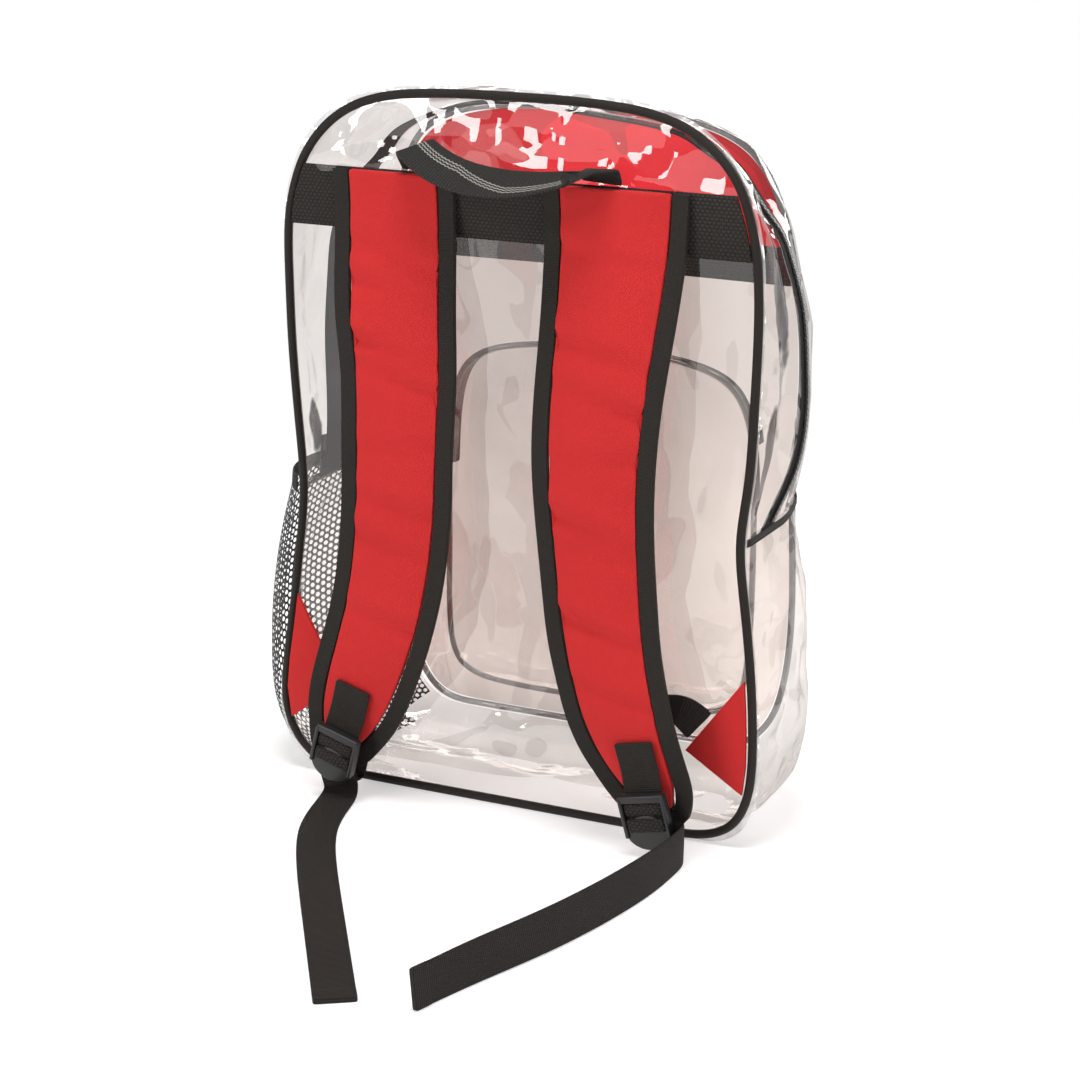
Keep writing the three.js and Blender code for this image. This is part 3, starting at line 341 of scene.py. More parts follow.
def makeStripeGroup():  # three rows of zigzag thread along a tape, which drift across it
    group, given, out = newGroup(
        "zigzagStripe",
        [("Place", "NodeSocketVector", None)] + [
            (name, "NodeSocketFloat", value) for name, value in (
                ("Start", 0.008), ("Shift", 0.012), ("ShiftFrom", 0.1), ("ShiftReach", 0.03),
                ("Repeat", 0.0266), ("Spacing", 0.0021), ("Swing", 0.0007), ("Period", 0.0032),
                ("Thread", 0.0009),
            )
        ],
        [("Mask", "NodeSocketFloat")],
    )
    xyz = addNode(group, "ShaderNodeSeparateXYZ", {"Vector": given["Place"]}).outputs
    across = mathNode(group, "FLOORED_MODULO", xyz["X"], given["Repeat"])
    past = mathNode(group, "SUBTRACT", xyz["Y"], given["ShiftFrom"])
    late = mathNode(group, "DIVIDE", past, given["ShiftReach"], clamp=True)
    centre = mathNode(group, "MULTIPLY_ADD", late, given["Shift"], given["Start"])
    halfPeriod = mathNode(group, "MULTIPLY", given["Period"], 0.5)
    rising = mathNode(group, "DIVIDE", mathNode(group, "PINGPONG", xyz["Y"], halfPeriod), halfPeriod)
    swing = mathNode(group, "MULTIPLY", mathNode(group, "SUBTRACT", rising, 0.5), given["Swing"])
    line = mathNode(group, "SUBTRACT", mathNode(group, "SUBTRACT", across, centre), swing)
    rowsReach = mathNode(group, "MULTIPLY", given["Spacing"], 1.5)
    nearRows = mathNode(group, "LESS_THAN", mathNode(group, "ABSOLUTE", line), rowsReach)
    halfSpacing = mathNode(group, "MULTIPLY", given["Spacing"], 0.5)
    wrapped = mathNode(group, "FLOORED_MODULO", mathNode(group, "ADD", line, halfSpacing), given["Spacing"])
    fromThread = mathNode(group, "ABSOLUTE", mathNode(group, "SUBTRACT", wrapped, halfSpacing))
    onThread = mathNode(group, "LESS_THAN", fromThread, mathNode(group, "MULTIPLY", given["Thread"], 0.5))
    group.links.new(mathNode(group, "MULTIPLY", nearRows, onThread), out["Mask"])
    return group


weaveGroup = makeWeaveGroup()
stripeGroup = makeStripeGroup()
wearGroup = makeWearGroup()
filmGroup = makeFilmGroup()
shadePatchGroup = makeShadePatchGroup()


# Materials

def mixColours(tree, factor, first, second):  # colours are values or sockets
    node = tree.nodes.new("ShaderNodeMix")
    node.data_type = "RGBA"
    feed(tree, node.inputs[0], factor)
    for i, colour in ((6, first), (7, second)):
        feed(tree, node.inputs[i], colour if isinstance(colour, bpy.types.NodeSocket) else (*colour, 1))
    return node.outputs[2]


def makeFilm(settings):  # clear, slightly smoky sheet with sharp reflections on its creases
    material, tree, output = newMaterial(settings["name"])
    place = addNode(tree, "ShaderNodeTexCoord").outputs["Object"]
    creases = placeGroup(tree, filmGroup, {"Place": place, "Scale": settings["creaseScale"]})
    normal = addNode(tree, "ShaderNodeBump", {
        "Height": creases["Height"], "Strength": 1.0, "Distance": settings["creaseDepth"],
    }).outputs[0]
    facing = addNode(tree, "ShaderNodeLayerWeight", {"Blend": 0.5, "Normal": normal}).outputs["Facing"]
    tint = settings["tint"]
    # The tint can change to one side and above a height; on the front panel its darker middle is painted
    # shade of the bag's inside, seen through the film
    if "sideTint" in settings:
        x = addNode(tree, "ShaderNodeSeparateXYZ", {"Vector": place}).outputs["X"]
        past = mathNode(tree, "SUBTRACT", x, settings["sideStart"])
        aside = mathNode(tree, "DIVIDE", past, settings["sideReach"], clamp=True)
        tint = mixColours(tree, aside, tint, settings["sideTint"])
    if "topTint" in settings:
        z = addNode(tree, "ShaderNodeSeparateXYZ", {"Vector": place}).outputs["Z"]
        above = mathNode(tree, "GREATER_THAN", z, settings["topStart"])
        tint = mixColours(tree, above, tint, settings["topTint"])
    smoky = mathNode(tree, "MULTIPLY", creases["Haze"], settings["uneven"])
    tint = mixColours(tree, smoky, tint, settings["dull"])
    # painted shade and dark reflections, mixed into the tint in soft patches
    for centre, reach, tone in settings.get("patches", []):
        mask = placeGroup(tree, shadePatchGroup, {"Place": place, "Centre": centre, "Reach": reach})["Mask"]
        tint = mixColours(tree, mask, tint, tone)
    grazing = mathNode(tree, "POWER", facing, settings["rimPower"])
    rim = mathNode(tree, "MULTIPLY", grazing, settings["rimShare"], clamp=True)
    tint = mixColours(tree, rim, tint, settings["rimTint"])
    clear = tree.nodes.new("ShaderNodeBsdfTransparent")
    tree.links.new(tint, clear.inputs["Color"])
    milk = addNode(tree, "ShaderNodeBsdfPrincipled", {
        "Base Color": (*settings["milk"], 1), "Roughness": 0.4, "Normal": normal,
    })
    milk.inputs["Specular IOR Level"].default_value = 0.0
    leastHaze = settings["haze"] * 0.3
    haze = mathNode(tree, "MULTIPLY_ADD", creases["Haze"], settings["haze"], leastHaze, clamp=True)
    body = addNode(tree, "ShaderNodeMixShader", {0: haze, 1: clear.outputs[0], 2: milk.outputs[0]})
    edge = mathNode(tree, "POWER", facing, 5.0)
    gloss = mathNode(tree, "MULTIPLY_ADD", edge, settings["edgeGloss"], settings["gloss"], clamp=True)
    shine = addNode(tree, "ShaderNodeBsdfGlossy", {
        "Color": (1, 0.985, 0.97, 1), "Roughness": settings["roughness"], "Normal": normal,
    })
    both = addNode(tree, "ShaderNodeMixShader", {0: gloss, 1: body.outputs[0], 2: shine.outputs[0]})
    tree.links.new(both.outputs[0], output.inputs["Surface"])
    return material


def makeCloth(settings):  # webbing, binding and fabric, from the unrolled UV or the place on the piece
    material, tree, output = newMaterial(settings["name"])
    coordinates = addNode(tree, "ShaderNodeTexCoord")
    place = coordinates.outputs["Object"]
    if settings["unrolled"]:
        pattern = coordinates.outputs["UV"]
    else:
        turned = addNode(tree, "ShaderNodeMapping", {"Vector": place, "Rotation": (math.radians(90), 0, 0)})
        pattern = turned.outputs[0]
    angle = math.radians(settings["turn"])
    slanted = addNode(tree, "ShaderNodeMapping", {"Vector": pattern, "Rotation": (0, 0, angle)}).outputs[0]
    weave = placeGroup(tree, weaveGroup, {
        "Place": slanted, "Across": settings["threadAcross"], "Along": settings["threadAlong"],
    })
    wear = placeGroup(tree, wearGroup, {"Place": place, "Size": 0.04, "Fine": 0.0012})
    contrast, worn = settings["contrast"], settings["wear"]
    shade = mathNode(tree, "MULTIPLY_ADD", weave["Height"], contrast, 1 - contrast * 0.75)
    tone = mathNode(tree, "MULTIPLY_ADD", wear["Tone"], worn, 1 - worn / 2)
    shade = mathNode(tree, "MULTIPLY", shade, tone)
    colour = mixColours(tree, shade, settings["dark"], settings["colour"])
    if "stripe" in settings:
        marks = placeGroup(tree, stripeGroup, {"Place": pattern} | settings["stripe"])["Mask"]
        colour = mixColours(tree, marks, colour, settings["stripeColour"])
    grain = mathNode(tree, "MULTIPLY_ADD", wear["Grain"], 0.35, weave["Height"])
    bump = addNode(tree, "ShaderNodeBump", {
        "Height": grain, "Strength": settings["strength"], "Distance": settings["depth"],
    })
    cloth = addNode(tree, "ShaderNodeBsdfPrincipled", {
        "Base Color": colour, "Roughness": settings["roughness"], "Normal": bump.outputs[0],
    })
    cloth.inputs["Sheen Weight"].default_value = settings["sheen"]
    cloth.inputs["Sheen Roughness"].default_value = 0.4
    cloth.inputs["Specular IOR Level"].default_value = settings["specular"]
    tree.links.new(cloth.outputs[0], output.inputs["Surface"])
    return material


def makePlastic(settings):
    material, tree, output = newMaterial(settings["name"])
    place = addNode(tree, "ShaderNodeTexCoord").outputs["Object"]
    wear = placeGroup(tree, wearGroup, {"Place": place, "Size": 0.012, "Fine": 0.0006})
    bump = addNode(tree, "ShaderNodeBump", {"Height": wear["Grain"], "Strength": 0.4, "Distance": 0.00005})
    rough = mathNode(tree, "MULTIPLY_ADD", wear["Tone"], 0.15, settings["roughness"] - 0.07)
    plastic = addNode(tree, "ShaderNodeBsdfPrincipled", {
        "Base Color": (*settings["colour"], 1), "Roughness": rough, "Normal": bump.outputs[0],
    })
    tree.links.new(plastic.outputs[0], output.inputs["Surface"])
    return material


filmBase = {
    "milk": (0.85, 0.83, 0.82), "haze": 0.012, "dull": (0.7, 0.65, 0.63), "uneven": 0.25,
    "gloss": 0.09, "edgeGloss": 0.5, "roughness": 0.025, "creaseScale": 22.0, "creaseDepth": 0.004,
    "rimTint": (0.2, 0.185, 0.18), "rimShare": 0.6, "rimPower": 6.0,
}
backFilm = makeFilm(filmBase | {
    "name": "backPanelVinyl", "tint": (0.93, 0.905, 0.89), "uneven": 0.1,
    "creaseScale": 13.0, "creaseDepth": 0.0035,
})
# The front panel's dark middle tint is painted shade of the bag's inside; it is lighter towards +x and
# higher up, over the yoke
frontFilm = makeFilm(filmBase | {
    "name": "frontPanelVinyl", "tint": (0.58, 0.485, 0.45),
    "sideTint": (0.8, 0.715, 0.67), "sideStart": 0.05, "sideReach": 0.05,
    "topTint": (0.96, 0.95, 0.945), "topStart": 0.345, "creaseScale": 16.0,
})
pocketFilm = makeFilm(filmBase | {"name": "pocketVinyl", "tint": (0.95, 0.94, 0.93), "creaseScale": 18.0})
# The gusset film's patches are painted shade and dark reflections
gussetFilm = makeFilm(filmBase | {
    "name": "gussetVinyl", "tint": (0.96, 0.945, 0.935), "dull": (0.55, 0.51, 0.49), "uneven": 0.35,
    "creaseScale": 30.0, "creaseDepth": 0.006,
    "patches": [  # centre, reach and colour of the painted shade
        ((0.16, -0.017, 0.345), (0.04, 0.012, 0.045), (0.035, 0.03, 0.03)),
        ((0.168, -0.03, 0.24), (0.03, 0.006, 0.04), (0.1, 0.07, 0.07)),
        ((-0.163, -0.014, 0.228), (0.03, 0.01, 0.022), (0.04, 0.036, 0.04)),
    ],
})
flangeFilm = makeFilm(filmBase | {
    "name": "flangeVinyl", "tint": (0.9, 0.9, 0.9), "haze": 0.5, "uneven": 0.5, "creaseScale": 60.0,
})
# Clear piping drawn with a dark grey tint and milk: painted darkness of its refraction
refractionDarkPiping = makeFilm(filmBase | {
    "name": "paintedRefractionPiping", "tint": (0.42, 0.41, 0.41), "milk": (0.3, 0.3, 0.31), "haze": 0.4,
    "gloss": 0.1, "roughness": 0.08, "creaseScale": 90.0, "creaseDepth": 0.001,
})
webbingBase = {
    "unrolled": True, "turn": 0, "colour": (0.034, 0.029, 0.025), "dark": (0.005, 0.0045, 0.004),
    "wear": 0.25, "strength": 0.9, "roughness": 0.7, "sheen": 0.0, "specular": 0.2,
}
webbing = makeCloth(webbingBase | {
    "name": "blackWebbing", "threadAcross": 0.0011, "threadAlong": 0.0015,
    "contrast": 0.8, "depth": 0.0006,
})
handleWebbing = makeCloth(webbingBase | {
    "name": "handleWebbing", "threadAcross": 0.0012, "threadAlong": 0.0018,
    "colour": (0.045, 0.041, 0.037), "contrast": 0.85, "depth": 0.0007,
    "stripe": {"Start": 0.0082, "Shift": 0.011, "ShiftFrom": 0.1, "ShiftReach": 0.035},
    "stripeColour": (0.36, 0.35, 0.32),
})
bandWebbing = makeCloth(webbingBase | {
    "name": "blackBand", "unrolled": False, "threadAcross": 0.003, "threadAlong": 0.0022,
    "dark": (0.004, 0.0035, 0.003), "contrast": 0.85, "depth": 0.0008,
})
binding = makeCloth(webbingBase | {
    "name": "blackBinding", "threadAcross": 0.0012, "threadAlong": 0.0012,
    "colour": (0.03, 0.026, 0.022), "contrast": 0.75, "wear": 0.2,
    "depth": 0.0005, "strength": 0.8, "roughness": 0.75,
})
pipingCloth = makeCloth(webbingBase | {
    "name": "pipingCloth", "turn": 45, "threadAcross": 0.0009, "threadAlong": 0.0009,
    "colour": (0.02, 0.015, 0.012), "dark": (0.006, 0.005, 0.004), "contrast": 0.6, "wear": 0.2,
    "depth": 0.0003, "strength": 0.6, "roughness": 0.5, "specular": 0.22,
})
redBase = {
    "unrolled": False, "turn": 38, "threadAcross": 0.0009, "threadAlong": 0.0009,
    "depth": 0.0003, "roughness": 0.8, "specular": 0.15,
}
redCloth = makeCloth(redBase | {
    "name": "redFabric", "colour": (0.63, 0.03, 0.03), "dark": (0.36, 0.01, 0.01),
    "contrast": 0.5, "wear": 0.25, "strength": 0.6, "sheen": 0.04,
})
# The yoke's red base is brighter than the strap red: painted light on the yoke, which sits in shade behind
# the clear film
paintedLightYokeCloth = makeCloth(redBase | {
    "name": "paintedLightYokeFabric", "colour": (0.95, 0.035, 0.05), "dark": (0.7, 0.015, 0.02),
    "contrast": 0.35, "wear": 0.1, "strength": 0.5, "sheen": 0.1,
})
blackPlastic = makePlastic({"name": "blackPlastic", "colour": (0.012, 0.0115, 0.011), "roughness": 0.4})
coilPlastic = makeCloth(webbingBase | {
    "name": "zipCoil", "threadAcross": 0.0056, "threadAlong": 0.0017,
    "colour": (0.05, 0.047, 0.045), "dark": (0.004, 0.004, 0.004), "contrast": 0.95, "wear": 0.1,
    "depth": 0.0009, "strength": 1.0, "roughness": 0.35, "specular": 0.5,
})
print("Materials made")


# Clear film pieces: the CAD wall's outer face, finely divided and creased

def newTexture(name, kind, **settings):
    texture = bpy.data.textures.new(name, kind)
    for key, value in settings.items():
        setattr(texture, key, value)
    return texture


folds = {
    "slack": newTexture("filmSlack", "CLOUDS", noise_scale=0.085, noise_depth=1),
    "waves": newTexture("filmWaves", "CLOUDS", noise_scale=0.035, noise_depth=1),
    "pinches": newTexture("filmPinches", "VORONOI", noise_scale=0.06, noise_intensity=1.2),
    "crumples": newTexture("filmCrumples", "VORONOI", noise_scale=0.028, noise_intensity=1.2),
}


def rimFade(obj, reach, loose):  # vertex group: 0 on the sewn rim, 1 at reach from it, times loose(place)
    group = obj.vertex_groups.new(name="inside")
    editOnly(obj, "VERT")
    bpy.ops.mesh.select_non_manifold(
        extend=False, use_wire=False, use_boundary=True, use_multi_face=False,
        use_non_contiguous=False, use_verts=False,
    )
    toObjectMode()
    rim = [v.co.copy() for v in obj.data.vertices if v.select]
    tree = kdtree.KDTree(len(rim))
    for i, place in enumerate(rim):
        tree.insert(place, i)
    tree.balance()
    for vertex in obj.data.vertices:
        away = tree.find(vertex.co)[2] / reach
        group.add([vertex.index], min(1.0, away) * loose(vertex.co), "REPLACE")
    return group.name


def evenly(place):
    return 1.0


# Stretch makes the folds run along an axis
def creaseFilm(obj, depths, reach=0.02, loose=evenly, stretch=(1, 1, 1)):
    toObjectMode()
    bpy.ops.object.empty_add()
    guide = bpy.context.active_object
    guide.scale = stretch
    group = rimFade(obj, reach, loose)
    for name, depth in depths.items():
        applyModifier(
            obj, "DISPLACE", texture=folds[name], texture_coords="OBJECT", texture_coords_object=guide,
            strength=depth, mid_level=0.5, vertex_group=group,
        )
    obj.vertex_groups.clear()
    bpy.data.objects.remove(guide)


def outerSheet(nodeName, name, outward, divisions):
    sheet = copyNode(nodeName, name)
    selectFaces(sheet, lambda place, normal: not outward(place, normal))
    bpy.ops.mesh.delete(type="FACE")
    toObjectMode()
    subdivide(sheet, divisions, boundary_smooth="PRESERVE_CORNERS")
    return sheet


def facesAway(centreHeight, least=0.45):  # true for faces that look away from the bag's middle line
    def test(place, normal):
        out = Vector((place.x, 0, place.z - centreHeight)).normalized()
        return normal.dot(out) > least
    return test


def facesFront(place, normal):
    return normal.y > 0.5


def facesOutOfPocket(place, normal):
    return normal.dot(place - Vector((0, 0.06, 0.155))) > 0


def copyBackFace(name):  # only the back panel's outer face, in edit mode
    sheet = copyNode("back_panel", name)
    selectFaces(sheet, lambda place, normal: normal.y > -0.5)
    bpy.ops.mesh.delete(type="FACE")
    bpy.ops.mesh.select_all(action="SELECT")
    bpy.ops.mesh.dissolve_faces()
    return sheet


seamFlange = {"past": 1.7 * mm, "inside": 1.5 * mm, "forward": 1.2 * mm, "lowest": 0.3 * mm}
backPanel = {
    "gridStep": 5.0 * mm, "folds": {"slack": 4.0 * mm, "waves": 1.2 * mm},
    "topFolds": {"pinches": 11.0 * mm, "crumples": 5.0 * mm},
    "topRim": 0.012, "topStart": 0.39, "topReach": 0.02,
}


def nearTop(place):
    return min(1.0, max(0.0, (place.z - backPanel["topStart"]) / backPanel["topReach"]))


def makeBackPanel():
    panel = copyBackFace("backPanelFilm")
    low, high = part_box("back_panel")
    step = backPanel["gridStep"]
    for axis in (0, 2):
        normal = [0, 0, 0]
        normal[axis] = 1
        for i in range(1, int((high[axis] - low[axis]) / step) + 1):
            place = [0, 0, 0]
            place[axis] = low[axis] + i * step
            bpy.ops.mesh.select_all(action="SELECT")
            bpy.ops.mesh.bisect(plane_co=place, plane_no=normal)
    toObjectMode()
    subdivide(panel, 1, subdivision_type="SIMPLE")
    creaseFilm(panel, backPanel["folds"])
    creaseFilm(panel, backPanel["topFolds"], backPanel["topRim"], nearTop)
    finishPiece(panel, ["back_panel"], backFilm)


def makeFlange():  # the trimmed edge of the clear film that stands out past the back piping
    flange = copyBackFace("backSeamFlange")
    bpy.ops.mesh.delete(type="ONLY_FACE")
    low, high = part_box("back_panel")
    cordLow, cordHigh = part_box("back_piping")
    middle = [(low[i] + high[i]) / 2 for i in range(3)]
    turn = {"orient_type": "GLOBAL", "center_override": middle}
    size = [high[i] - low[i] for i in range(3)]
    cord = [cordHigh[i] - cordLow[i] for i in range(3)]
    inner = [length - 2 * seamFlange["inside"] for length in cord]
    outer = [length + 2 * seamFlange["past"] for length in cord]
    bpy.ops.mesh.select_all(action="SELECT")
    bpy.ops.transform.resize(value=(inner[0] / size[0], 1, inner[2] / size[2]), **turn)
    bpy.ops.mesh.extrude_edges_move()
    bpy.ops.transform.resize(value=(outer[0] / inner[0], 1, outer[2] / inner[2]), **turn)
    bpy.ops.mesh.select_all(action="SELECT")
    bpy.ops.transform.translate(value=(0, seamFlange["forward"], 0))
    toObjectMode()
    for vertex in flange.data.vertices:
        vertex.co.z = max(vertex.co.z, seamFlange["lowest"])
    subdivide(flange, 2, boundary_smooth="PRESERVE_CORNERS")
    finishPiece(flange, [], flangeFilm, angle=60)


filmSheets = {
    "lower_gusset": {
        "name": "lowerGussetFilm", "outward": facesAway(0.15), "divisions": 3, "film": gussetFilm,
        "folds": {"slack": 6.0 * mm, "pinches": 7.0 * mm, "crumples": 3.0 * mm},
        "reach": 0.02, "stretch": (3.0, 0.8, 1.3),
    },
    "zip_gusset_rear": {
        "name": "rearGussetFilm", "outward": facesAway(0.3), "divisions": 3, "film": gussetFilm,
        "folds": {"slack": 6.0 * mm, "pinches": 8.0 * mm, "crumples": 2.5 * mm},
        "reach": 0.015, "stretch": (1.0, 0.6, 2.0),
    },
    "zip_gusset_front": {
        "name": "frontGussetFilm", "outward": facesAway(0.3), "divisions": 4, "film": gussetFilm,
        "folds": {"slack": 4.0 * mm, "pinches": 4.0 * mm, "crumples": 2.0 * mm},
        "reach": 0.012, "stretch": (1.0, 0.7, 1.6),
    },
    "front_panel": {
        "name": "frontPanelFilm", "outward": facesFront, "divisions": 4, "film": frontFilm,
        "folds": {"slack": 5.0 * mm, "waves": 1.5 * mm, "pinches": 2.5 * mm},
        "reach": 0.02, "stretch": (1.0, 1.0, 1.6),
    },
    "front_pocket": {
        "name": "frontPocketFilm", "outward": facesOutOfPocket, "divisions": 3, "film": pocketFilm,
        "folds": {"slack": 3.0 * mm, "waves": 1.5 * mm, "pinches": 2.5 * mm},
        "reach": 0.015, "stretch": (1.0, 1.0, 1.4),
    },
}


def makeFilmSheets():
    makeFlange()
    makeBackPanel()
    for nodeName, piece in filmSheets.items():
        sheet = outerSheet(nodeName, piece["name"], piece["outward"], piece["divisions"])
        creaseFilm(sheet, piece["folds"], piece["reach"], evenly, piece["stretch"])
        finishPiece(sheet, [nodeName], piece["film"], angle=60)


makeFilmSheets()
print("Clear film sheets made")


# Piping

piping = {
    "backRadius": 2.65 * mm, "frontRadius": 2.0 * mm, "pocketRadius": 1.8 * mm,
    "roundedShare": 0.833, "extra": 0.15 * mm, "divisions": 2,
}


def makePiping(nodeName, name, radius, material):
    cord = copyNode(nodeName, name)
    unrollQuads(cord, radius)
    subdivide(cord, piping["divisions"])
    swell = radius * (1 - piping["roundedShare"]) + piping["extra"]
    pushAlongNormals(cord, lambda place, normal: swell)
    finishPiece(cord, [nodeName], material, angle=80)


makePiping("back_piping", "backPipingCord", piping["backRadius"], pipingCloth)
makePiping("front_piping", "frontPipingCord", piping["frontRadius"], refractionDarkPiping)
makePiping("pocket_piping", "pocketPipingCord", piping["pocketRadius"], refractionDarkPiping)
print("Piping made")


# Webbing and tape pieces, from the CAD's stations

webbingPieces = {
    "grab_handle": {"across": 25.0 * mm, "material": handleWebbing, "slot": "black_webbing"},
    "strap_end_left": {"across": 25.0 * mm, "material": webbing, "slot": "black_webbing"},
    "strap_end_right": {"across": 25.0 * mm, "material": webbing, "slot": "black_webbing"},
    "strap_tail_left": {"across": 24.5 * mm, "material": webbing, "slot": "black_webbing"},
    "strap_tail_right": {"across": 24.5 * mm, "material": webbing, "slot": "black_webbing"},
    "lower_webbing_left": {"across": 24.5 * mm, "material": webbing, "slot": "black_webbing"},
    "lower_webbing_right": {"across": 24.5 * mm, "material": webbing, "slot": "black_webbing"},
    "strap_binding_left": {"across": 10.5 * mm, "material": binding, "slot": "black_binding"},
    "strap_binding_right": {"across": 10.5 * mm, "material": binding, "slot": "black_binding"},
    "zip_coil": {"across": 5.5 * mm, "material": coilPlastic, "slot": "black_plastic"},
    "zip_tape": {"across": 8.5 * mm, "material": binding, "slot": "black_webbing"},
    "pocket_zip": {"across": 9.0 * mm, "material": binding, "slot": "black_webbing"},
}


strips = {"sharp": 50, "crease": 0.9, "divisions": 3}


def roundStrip(strip, nodeName, material):
    creaseSharpEdges(strip, strips["sharp"], strips["crease"])
    subdivide(strip, strips["divisions"])
    finishPiece(strip, [nodeName], material, strips["sharp"])


def makeWebbing(nodeName, settings):
    tape = copyNode(nodeName, nodeName.replace("_", " ").title().replace(" ", "") + "Tape")
    unrollQuads(tape, settings["across"])
    roundStrip(tape, nodeName, settings["material"])


for nodeName, settings in webbingPieces.items():
    makeWebbing(nodeName, settings)
print("Webbing made")


# Flat woven and red pieces

def makeFlatPiece(nodeName, name, material, edge):
    piece = copyNode(nodeName, name)
    bevelEdges(piece, edge, 2, 50)
    finishPiece(piece, [nodeName], material)


makeFlatPiece("back_band", "backBandWebbing", bandWebbing, 0.4 * mm)
makeFlatPiece("corner_triangle_left", "leftCornerCloth", redCloth, 0.8 * mm)
makeFlatPiece("corner_triangle_right", "rightCornerCloth", redCloth, 0.8 * mm)
makeFlatPiece("seam_tape_left", "leftSeamTape", bandWebbing, 0.3 * mm)
makeFlatPiece("seam_tape_right", "rightSeamTape", bandWebbing, 0.3 * mm)
roundStrip(copyNode("front_yoke", "paintedLightYokeCloth"), "front_yoke", paintedLightYokeCloth)
roundStrip(copyNode("yoke_trim", "yokeTrimWebbing"), "yoke_trim", bandWebbing)
print("Flat cloth pieces made")


# Shoulder pads

shoulderPads = {
    "sharp": 60, "crease": 0.6, "divisions": 3,
    "halfWidth": 0.033, "foldWidth": 0.0042, "dip": 2.4, "ridge": 1.1,
    "ridgeAway": 2.4, "ridgeWidth": 1.8, "leastShare": 0.3, "fadeAt": 1.25, "fadeReach": 0.3,
    "left": [  # height, slope, depth in mm and the side where the fold is deepest, all as on the piece
        (0.352, -0.25, 1.0, 1), (0.334, 0.1, 0.8, -1), (0.295, 0.22, 1.3, -1), (0.28, -0.3, 1.2, 1),
        (0.236, 0.1, 0.7, 1), (0.199, -0.2, 1.0, 1), (0.172, 0.25, 1.0, -1), (0.124, -0.2, 0.8, 1),
    ],
    "right": [
        (0.362, 0.15, 0.7, -1), (0.306, 0.22, 1.1, -1), (0.279, -0.25, 1.0, 1), (0.243, 0.1, 0.6, 1),
        (0.2, 0.25, 1.4, -1), (0.187, -0.1, 0.8, 1), (0.137, 0.28, 1.2, -1), (0.098, -0.2, 0.7, 1),
    ],
}


def quilting(side, middleAt):  # soft folds across the pad, deepest at the binding they start from
    width = shoulderPads["foldWidth"]

    def amount(place, normal):
        if normal.y > -0.2:
            return 0.0
        across = (place.x - middleAt(place.z)) / shoulderPads["halfWidth"]
        push = 0.0
        for height, slope, depth, edge in shoulderPads[side]:
            away = place.z - height - slope * across * shoulderPads["halfWidth"] * edge
            nearEdge = min(1.0, max(0.0, 0.5 + 0.5 * across * edge))
            share = shoulderPads["leastShare"] + (1 - shoulderPads["leastShare"]) * nearEdge
            beside = (away - shoulderPads["ridgeAway"] * width) / (shoulderPads["ridgeWidth"] * width)
            push -= shoulderPads["dip"] * depth * mm * share * math.exp(-((away / width) ** 2))
            push += shoulderPads["ridge"] * depth * mm * share * math.exp(-(beside ** 2))
        return push * min(1.0, max(0.0, shoulderPads["fadeAt"] - abs(across)) / shoulderPads["fadeReach"])

    return amount


def makeShoulderPad(side):
    nodeName = f"shoulder_pad_{side}"
    pad = copyNode(nodeName, f"{side}ShoulderPad")
    creaseSharpEdges(pad, shoulderPads["sharp"], shoulderPads["crease"])
    subdivide(pad, shoulderPads["divisions"])
    bands = {}
    for vertex in pad.data.vertices:
        bands.setdefault(round(vertex.co.z * 100), []).append(vertex.co.x)
    middles = {band: (min(xs) + max(xs)) / 2 for band, xs in bands.items()}
    pushAlongNormals(pad, quilting(side, lambda z: middles.get(round(z * 100), 0.0)))
    finishPiece(pad, [nodeName], redCloth, shoulderPads["sharp"])


makeShoulderPad("left")
makeShoulderPad("right")
print("Shoulder pads made")


# Side mesh pocket

def makeNetMaterial(settings):  # hexagonal net: threads are solid and the cells see-through
    material, tree, output = newMaterial(settings["name"])
    uv = addNode(tree, "ShaderNodeTexCoord").outputs["UV"]
    size = settings["cell"]
    period = (size, size * math.sqrt(3), 1.0)
    half = (size / 2, size * math.sqrt(3) / 2, 0.0)

    def wrapped(place):
        centred = vectorNode(tree, "SUBTRACT", vectorNode(tree, "WRAP", place, period, (0, 0, 0)), half)
        return centred, vectorNode(tree, "LENGTH", centred)

    first, firstLength = wrapped(uv)
    second, secondLength = wrapped(vectorNode(tree, "ADD", uv, half))
    nearer = mathNode(tree, "LESS_THAN", firstLength, secondLength)
    pick = addNode(tree, "ShaderNodeMix", {"Factor": nearer}, data_type="VECTOR")
    tree.links.new(second, pick.inputs[4])
    tree.links.new(first, pick.inputs[5])
    folded = vectorNode(tree, "ABSOLUTE", pick.outputs[1])
    axes = addNode(tree, "ShaderNodeSeparateXYZ", {"Vector": folded}).outputs
    upward = mathNode(tree, "MULTIPLY", axes["Y"], math.sqrt(3) / 2)
    slanted = mathNode(tree, "ADD", mathNode(tree, "MULTIPLY", axes["X"], 0.5), upward)
    reach = mathNode(tree, "MAXIMUM", axes["X"], slanted)
    thread = mathNode(tree, "GREATER_THAN", reach, size / 2 - settings["thread"] / 2)
    cloth = addNode(tree, "ShaderNodeBsdfPrincipled", {
        "Base Color": (*settings["colour"], 1), "Roughness": 0.7, "Alpha": thread,
    })
    tree.links.new(cloth.outputs[0], output.inputs["Surface"])
    return material


net = makeNetMaterial({"name": "blackNet", "cell": 0.0046, "thread": 0.0017, "colour": (0.03, 0.03, 0.03)})


meshPocket = {"innerEdge": -0.135, "outward": facesAway(0.2, 0.3)}  # the net is sewn in at its inner edge


